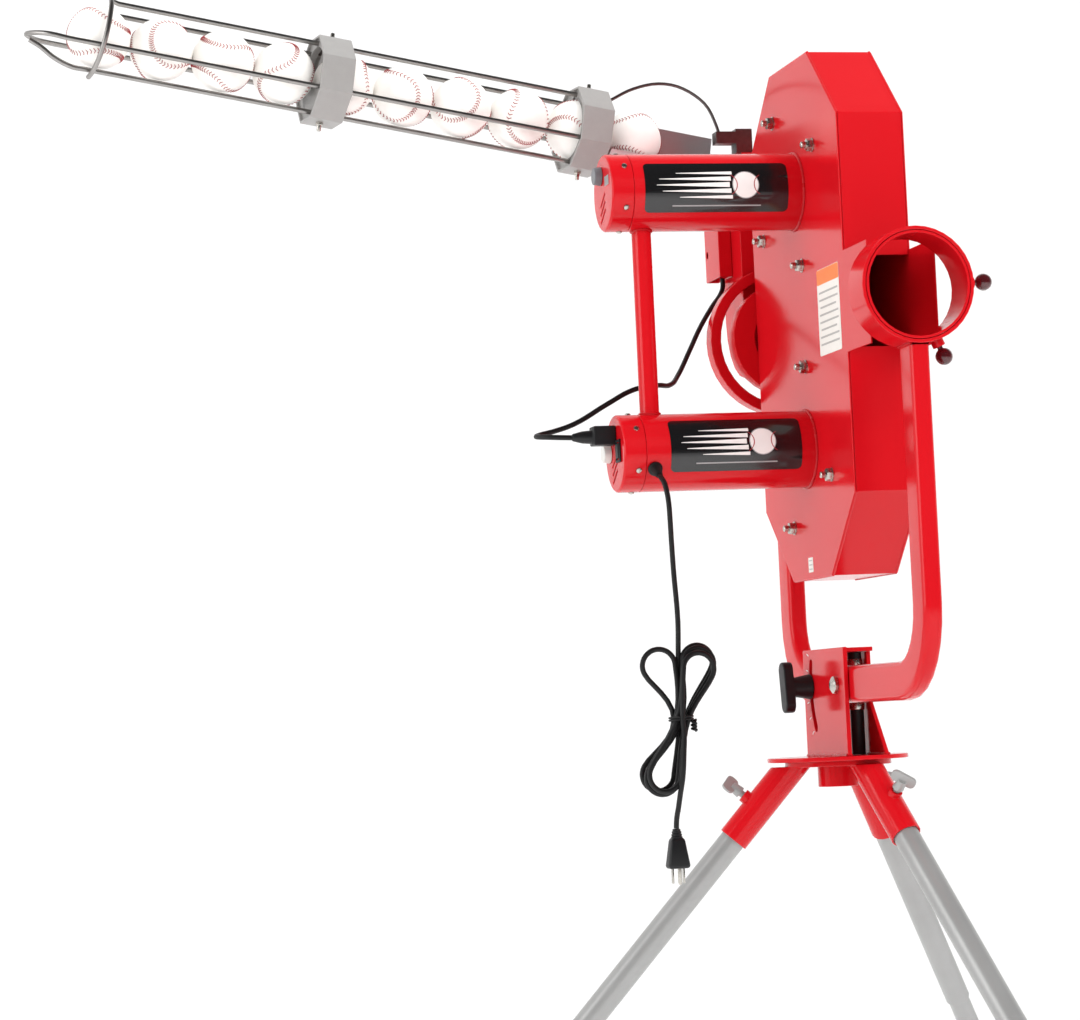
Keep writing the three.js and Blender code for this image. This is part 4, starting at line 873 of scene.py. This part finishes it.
@dataclass
class BallRack(Assembly):
    """The sloping wire rack, its two clamps, the trough and the balls lying in it."""

    start: Point = (0.0, 250.0, 224.2)
    yaw: float = 8.0
    slope: float = 9.1
    first_ball: float = 174.4
    pitch: float = 74.2
    balls: int = 10
    ball_r: float = 36.6
    seam_bend: float = 0.44
    stitch_pairs: int = 54
    clamps: tuple[float, float] = (238.0, 567.0)
    clamp_half: float = 50.0

    def place(self) -> Matrix:
        """The rack's own frame: +X runs down the slope to the chute, on the balls' centre line."""
        return (Matrix.Translation(self.at(*self.start)) @ Matrix.Rotation(math.radians(self.yaw), 4, "Z")
                @ Matrix.Rotation(math.radians(self.slope), 4, "Y"))

    def build(self) -> None:
        """Make every piece of the rack."""
        for node in ("rack_top_wire", "rack_upper_wire", "rack_loop_wire", "rack_bottom_wire"):
            self.shop.eased(node, WIRE_ZINC, 0.3, 60)
        for node in ("rack_inner_clamp", "rack_outer_clamp"):
            self.shop.eased(node, CLAMP_PAINT, 0.8)
        self.shop.eased("ball_trough", TROUGH_ZINC, 0.4)
        self.shop.eased("retaining_cable", CABLE_STEEL, 0.3)
        rng = random.Random(7)
        for n in range(self.balls):
            self.baseball(n, rng)
        self.clamp_screws()

    def seam_point(self, t: float) -> Vector:
        """A point of the seam on a unit ball, for t from 0 to 4 pi."""
        polar = math.pi / 2 - (math.pi / 2 - self.seam_bend) * math.cos(t)
        turn = t / 2 + self.seam_bend * math.sin(2 * t)
        return Vector((math.sin(polar) * math.cos(turn), math.sin(polar) * math.sin(turn), math.cos(polar)))

    def baseball(self, n: int, rng: random.Random) -> None:
        """A ball in the rack: leather with its raised seam, and V stitches of waxed thread across it."""
        ball = bmesh.new()
        bmesh.ops.create_icosphere(ball, subdivisions=4, radius=self.ball_r * MM)
        samples = 2 * self.stitch_pairs
        points = [self.seam_point(4 * math.pi * k / samples) for k in range(samples)]
        welt = tube_along([p * (self.ball_r - 0.1) * MM for p in points + points[:1]], 0.55 * MM, 6)
        stitches = []
        for k, point in enumerate(points):
            ahead = (points[(k + 1) % samples] - points[k - 1]).normalized()
            across = point.cross(ahead).normalized()
            for side in (-1, 1):
                far = (point + across * side * 0.085 - ahead * 0.05).normalized()
                mid = (point + across * side * 0.045 - ahead * 0.026).normalized()
                legs = [point * (self.ball_r + 0.5) * MM, mid * (self.ball_r + 0.45) * MM,
                        far * (self.ball_r - 0.1) * MM]
                stitches.append(placed(tube_along(legs, 0.42 * MM, 4), Matrix(), 1))
        whole = merged([ball, welt, *stitches])
        spin = Matrix.Rotation(rng.uniform(0, math.tau), 4, Vector((rng.gauss(0, 1), rng.gauss(0, 1), rng.gauss(0, 1))))
        along = self.place() @ Matrix.Translation((-(self.first_ball + self.pitch * n) * MM, 0, 0))
        bmesh.ops.transform(whole, matrix=along @ spin, verts=whole.verts[:])
        self.shop.piece(f"baseball_{n + 1}", whole, [LEATHER, THREAD], "head", smooth_degrees=60)

    def clamp_screws(self) -> None:
        """The locking nut and the end of the pinch screw, on top of and under each clamp."""
        pieces = []
        for s in self.clamps:
            for side in (-1, 1):
                nut = revolved([(0, 0), (4.6 * MM, 0), (4.6 * MM, 3.2 * MM), (3.9 * MM, 4 * MM), (0, 4 * MM)], 6)
                stud = revolved([(0, MM), (2.6 * MM, MM), (2.6 * MM, 10 * MM), (1.9 * MM, 11 * MM), (0, 11 * MM)], 16)
                place = Matrix.Translation((-(s - 3 * side) * MM, 4 * side * MM, side * self.clamp_half * MM))
                turn = Matrix.Rotation(0 if side > 0 else math.pi, 4, "X")
                pieces.append(placed(merged([nut, stud]), self.place() @ place @ turn))
        self.shop.piece("clamp_screws", merged(pieces), [SCREW_ZINC], "head")


@dataclass
class Cords(Assembly):
    """The feeder's lead between the lower motor and the feeder, and the mains lead with its hank and plug."""

    diameter: float = 0.006
    feeder_route: tuple = (
        (-317.8, 0, -130), (-331, 0, -129.5), (-344, 4, -128.5), (-352, 15, -127), (-352, 28, -125),
        (-343, 38, -122), (-326, 43, -118), (-302, 45, -110), (-262, 47, -88), (-230, 50, -72),
        (-200, 62, -66), (-172, 98, -62), (-148, 143, -45), (-122, 180, -12), (-98, 212, 20),
        (-74, 240, 48), (-55, 262, 68), (-49, 272, 79), (-48.5, 274, 87.7))
    drop_route: tuple = (
        (-232, -67, -184.3), (-231.5, -76, -190.5), (-231, -82, -200), (-230, -84.4, -213), (-229, -83, -230),
        (-227.5, -79, -255), (-225.5, -75, -290), (-222.5, -72, -344), (-223, -69.5, -378), (-224, -66, -425))
    tail_route: tuple = (
        (-225, -85, -475), (-226.5, -86.5, -490), (-229, -86, -518), (-231.6, -80.5, -539), (-233, -76.5, -552),
        (-234.8, -73, -565), (-235.5, -72, -575.6))
    tie: Point = (-224.0, -72.0, -455.0)
    strand: float = 6.6
    fold_r: float = 18.3

    def slot(self, column: int, row: int) -> Vector:
        """A strand's place in the tied waist: columns run towards +X and rows away from the housing's front."""
        tx, ty, tz = self.tie
        return Vector((tx + column * self.strand, ty - row * self.strand, tz))

    def fold(self, centre: tuple[float, float], turn: tuple[float, float], y: tuple[float, float]) -> list[Vector]:
        """Half a round of cord.

        Args:
            centre: x and z of its middle, in machine millimetres.
            turn: the angles that it starts and ends at, in degrees.
            y: its depth at the start and at the end.

        Returns:
            Places along it.
        """
        places = []
        for k in range(11):
            t = k / 10
            a = math.radians(turn[0] + (turn[1] - turn[0]) * t)
            places.append(Vector((centre[0] + self.fold_r * math.cos(a), y[0] + (y[1] - y[0]) * t,
                                  centre[1] + self.fold_r * math.sin(a))))
        return places

    def hank_route(self) -> list[Vector]:
        """The gathered cord: folds above and below the tie, each strand in its own slot through it.

        Returns:
            Places in machine millimetres, from the first strand's way in to the last one's way out.
        """
        under_left, under_right = (0, -213), (147, 360)
        over_right, over_left = (210, 0), (-30, 180)
        steps = [
            (self.slot(0, -1), (-250, -515), under_left, (-59, -59)),
            (self.slot(-1, -1), (-246, -394), over_right, (-65.4, -71)),
            (self.slot(-1, 0), (-246, -517), under_right, (-66, -66)),
            (self.slot(1, -1), (-201.5, -391), over_left, (-65.4, -71)),
            (self.slot(0, 0), (-249, -519), under_right, (-73, -73)),
            (self.slot(1, 0), (-202, -394), over_left, (-72.5, -78)),
            (self.slot(-1, 1), (-247, -516), under_right, (-79.5, -79.5)),
            (self.slot(1, 1), (-204, -400), over_left, (-79.5, -85)),
        ]
        route = []
        for slot, centre, turn, depth in steps:
            route += [slot, *self.fold(centre, turn, depth)]
        return [*route, Vector((-225.5, -84.5, self.tie[2]))]

    def sheathed(self, name: str, route: Sequence[Vector], diameter: float, body: str,
                 replaces: Sequence[str]) -> bpy.types.Object:
        """A round cord on a smooth curve through its places.

        Args:
            name: the piece's name.
            route: places in the row frame.
            diameter: the cord's own.
            body: what it rides on.
            replaces: the CAD solids that it stands for.

        Returns:
            The curve.
        """
        curve = bpy.data.curves.new(name, "CURVE")
        curve.dimensions = "3D"
        curve.bevel_depth = diameter / 2
        curve.bevel_resolution = 4
        curve.resolution_u = 6
        curve.use_fill_caps = True
        spline = curve.splines.new("BEZIER")
        spline.bezier_points.add(len(route) - 1)
        for point, place in zip(spline.bezier_points, route):
            point.co = place
            point.handle_left_type = point.handle_right_type = "AUTO"
        made = bpy.data.objects.new(name, curve)
        bpy.context.scene.collection.objects.link(made)
        curve.materials.append(CORD_SHEATH.material())
        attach(made, body)
        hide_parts(*replaces)
        LOG.info("%s: cord of %d places", name, len(route))
        return made

    @staticmethod
    def reach(made: bpy.types.Object) -> float:
        """The length of a cord along its middle line."""
        scratch = made.data.copy()
        scratch.bevel_depth = 0
        holder = bpy.data.objects.new("measuring", scratch)
        bpy.context.scene.collection.objects.link(holder)
        bpy.context.view_layer.update()
        line = holder.to_mesh()
        total = sum((line.vertices[e.vertices[0]].co - line.vertices[e.vertices[1]].co).length for e in line.edges)
        bpy.data.objects.remove(holder)
        return total

    def build(self) -> None:
        """Make both cords and what is on them."""
        feeder = self.sheathed("feeder_lead", [self.at(*p) for p in self.feeder_route], self.diameter,
                               "head", ["feeder_cord"])
        self.at(*self.feeder_route[0])
        self.reach(feeder)
        start = self.strain_relief()
        plug = self.plug()
        route = [start, *(self.at(*p) for p in self.drop_route), *(self.at(*p) for p in self.hank_route()),
                 *(self.at(*p) for p in self.tail_route)]
        mains = self.sheathed("mains_lead", route, self.diameter, "head",
                              ["mains_cord", "mains_cord_hank", "mains_cord_tail"])
        self.reach(mains)
        self.tie_band()

    def strain_relief(self) -> Vector:
        """The ribbed, tapered grommet where the mains lead leaves the motor.

        Returns:
            Where the cord comes out of it.
        """
        out = Vector((0, -0.89, -0.456)).normalized()
        root = self.at(-232, 0, -150) + out * 44.8 * MM
        profile = [(0, 0), (8, 0), (8.4, 1.2), (8.4, 3.2), (7.6, 4)]
        for rib in range(5):
            d, r = 5 + 3 * rib, 6.2 - 0.45 * rib
            profile += [(r - 0.9, d), (r, d + 0.5), (r, d + 1.8), (r - 0.9, d + 2.2)]
        profile += [(3.9, 21), (0, 21)]
        relief = revolved([(r * MM, d * MM) for r, d in profile], 24)
        self.shop.piece("mains_lead_relief", placed(relief, aimed(root, out)), [CORD_SHEATH], "head",
                        ["mains_strain_relief"])
        return root + out * 21.3 * MM

    def plug(self) -> bpy.types.Object:
        """The moulded three-pin plug at the end of the mains lead."""
        top = self.at(-235.5, -72, -576)
        body = boxed((25 * MM, 20 * MM, 34 * MM), 3.5 * MM, 3)
        for vert in body.verts:
            slim = max(0.0, (vert.co.z / MM + 2) / 19)
            vert.co.x *= 1 - 0.42 * slim
            vert.co.y *= 1 - 0.3 * slim
        placed(body, Matrix.Translation(top - Vector((0, 0, 27 * MM))))
        neck_profile = [(0, 0), (3.9, 0), (4.6, -1)]
        for rib in range(4):
            d, r = -3 - 3 * rib, 5.4 + 0.6 * rib
            neck_profile += [(r - 1.0, d + 0.8), (r, d), (r, d - 1.6), (r - 0.6, d - 2.2)]
        neck_profile += [(6.4, -16), (0, -16)]
        neck = placed(revolved([(r * MM, d * MM) for r, d in neck_profile], 20), Matrix.Translation(top))
        pins = []
        for x in (-6.35, 6.35):
            blade = boxed((1.6 * MM, 6.4 * MM, 17 * MM), 0.5 * MM)
            pins.append(placed(blade, Matrix.Translation(top + Vector((x * MM, 1 * MM, -52 * MM))), 1))
        earth = revolved([(0, 0), (2.2 * MM, 0), (2.4 * MM, -16 * MM), (1.4 * MM, -18 * MM), (0, -18.4 * MM)], 14)
        pins.append(placed(earth, Matrix.Translation(top + Vector((0, -6 * MM, -43.6 * MM))), 1))
        return self.shop.piece("mains_lead_plug", merged([body, neck, *pins]), [NYLON, SCREW_ZINC], "head",
                               ["mains_plug"])

    def tie_band(self) -> bpy.types.Object:
        """The twist tie: two rounds of wire in a sheath at the hank's waist, and its twisted knot."""
        tx, ty, tz = self.tie
        loop = [self.at(tx + 13.2 * math.cos(math.tau * k / 24), ty + 13.6 * math.sin(math.tau * k / 24),
                        tz - 2 + 5.5 * k / 48) for k in range(49)]
        knot = [self.at(tx + 13.4 + 2.6 * math.cos(1.3 * k), ty - 5 + 2.6 * math.sin(1.3 * k), tz - 1 - 0.8 * k)
                for k in range(16)]
        return self.shop.piece("hank_tie", merged([tube_along(loop, 1.2 * MM, 8), tube_along(knot, 1.6 * MM, 8)]),
                               [CORD_SHEATH], "head")


# ---------------------------------------------------------------- studio
@dataclass
class Studio:
    """The pale sweep, soft lights and the camera."""

    origin: Vector
    focal_mm: float = 108.53
    sensor_mm: float = 36.0

    def camera(self) -> None:
        """Stand the camera ahead and to the motors' side, looking a little up."""
        right = Vector((0.97348, -0.22437, -0.04455))
        forward = Vector((0.22692, 0.97180, 0.06413)).normalized()
        up = right.cross(forward).normalized()
        right = forward.cross(up).normalized()
        place = self.origin + Vector((-1.1954, -3.5856, -0.4479))
        data = bpy.data.cameras.new("studio_camera")
        data.sensor_width = self.sensor_mm
        data.lens = self.focal_mm
        data.clip_end = 60
        made = bpy.data.objects.new("studio_camera", data)
        turn = Matrix((right, up, -forward)).transposed().to_4x4()
        made.matrix_world = Matrix.Translation(place) @ turn
        bpy.context.scene.collection.objects.link(made)
        bpy.context.scene.camera = made

    def sweep(self) -> None:
        """A pale paper floor that curves up far behind the machine."""
        bm = bmesh.new()
        bottom = [bm.verts.new((-9, -9, 0)), bm.verts.new((-9, 4.5, 0))]
        edges = [bm.edges.new(bottom)]
        turned = bmesh.ops.spin(bm, geom=[bottom[1]], cent=(-9, 4.5, 2.5), axis=(1, 0, 0), dvec=(0, 0, 0),
                                angle=math.pi / 2, steps=20, use_merge=False, use_normal_flip=False,
                                use_duplicate=False)
        last = turned["geom_last"][0]
        edges.append(bm.edges.new((last, bm.verts.new((-9, 7, 9)))))
        pulled = bmesh.ops.extrude_edge_only(bm, edges=bm.edges[:])
        bmesh.ops.translate(bm, vec=(18, 0, 0),
                            verts=[v for v in pulled["geom"] if isinstance(v, bmesh.types.BMVert)])
        bmesh.ops.recalc_face_normals(bm, faces=bm.faces[:])
        mesh = bpy.data.meshes.new("paper_sweep")
        bm.to_mesh(mesh)
        bm.free()
        mesh.shade_smooth()
        mesh.materials.append(STUDIO_FLOOR.material())
        made = bpy.data.objects.new("paper_sweep", mesh)
        bpy.context.scene.collection.objects.link(made)

    def soft_light(self, name: str, place: Point, target: Point, size: float, watts: float,
                   mirrored: bool = True) -> None:
        """A square soft box aimed at a point, which gloss may or may not mirror."""
        data = bpy.data.lights.new(name, "AREA")
        data.shape = "SQUARE"
        data.size = size
        data.energy = watts
        made = bpy.data.objects.new(name, data)
        ahead = Vector(target) - Vector(place)
        made.matrix_world = Matrix.Translation(place) @ ahead.to_track_quat("-Z", "Y").to_matrix().to_4x4()
        made.visible_glossy = mirrored
        bpy.context.scene.collection.objects.link(made)

    def surround(self) -> bpy.types.World:
        """White all round, but dim ahead and above for reflections, where a studio holds the camera."""
        world = bpy.data.worlds.new("white_surround")
        world.use_nodes = True
        tree = world.node_tree
        tree.nodes.clear()
        ray = add_node(tree, "ShaderNodeLightPath")
        way = add_node(tree, "ShaderNodeTexCoord").outputs["Generated"]
        ahead = add_node(tree, "ShaderNodeVectorMath", links={0: way}, values={1: (0.1, -0.8, 0.6)},
                         operation="DOT_PRODUCT")
        mask = add_node(tree, "ShaderNodeMapRange", links={"Value": ahead.outputs["Value"]},
                        values={"From Min": -0.15, "From Max": 0.45})
        dim = add_node(tree, "ShaderNodeMath", links={0: mask.outputs["Result"], 1: ray.outputs["Is Glossy Ray"]},
                       operation="MULTIPLY")
        shade = add_node(tree, "ShaderNodeMix", links={"Factor": dim.outputs["Value"]}, data_type="RGBA")
        shade.inputs[6].default_value = linear("ffffff")
        shade.inputs[7].default_value = linear("4a4a4a")
        light = add_node(tree, "ShaderNodeBackground", links={"Color": shade.outputs[2]}, values={"Strength": 1.0})
        add_node(tree, "ShaderNodeOutputWorld", links={"Surface": light.outputs["Background"]})
        return world

    def lights(self) -> None:
        """A broad key ahead on the right, a fill on the motors' side, a top light and a white surround."""
        middle = (0.1, 0.0, 1.1)
        self.soft_light("key_light", (1.8, -3.6, 3.2), middle, 2.2, 88, False)
        self.soft_light("fill_light", (-4.2, -0.8, 2.2), middle, 2.6, 70)
        self.soft_light("top_light", (0.2, 0.8, 4.4), middle, 2.4, 60, False)
        bpy.context.scene.world = self.surround()
        bpy.context.scene.view_settings.view_transform = "Standard"


def main() -> None:
    """Load the frame, build each assembly round it and set up the studio."""
    logging.basicConfig(level=logging.INFO, format="%(name)s: %(message)s")
    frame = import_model()
    shop = Shop(frame)
    wrap_low, wrap_high = shop.low("housing_lower_wrap"), shop.high("housing_upper_wrap")
    origin = (wrap_low + wrap_high) / 2
    studio = Studio(origin)
    studio.camera()
    Cords(shop, origin).build()
    for assembly in (WheelHousing, Motors, YokeAndTower, Tripod, FeedChute, BallRack):
        assembly(shop, origin).build()
    studio.sweep()
    studio.lights()
    LOG.info("%d pieces made", len(shop.made))


if __name__ == "__main__":
    main()
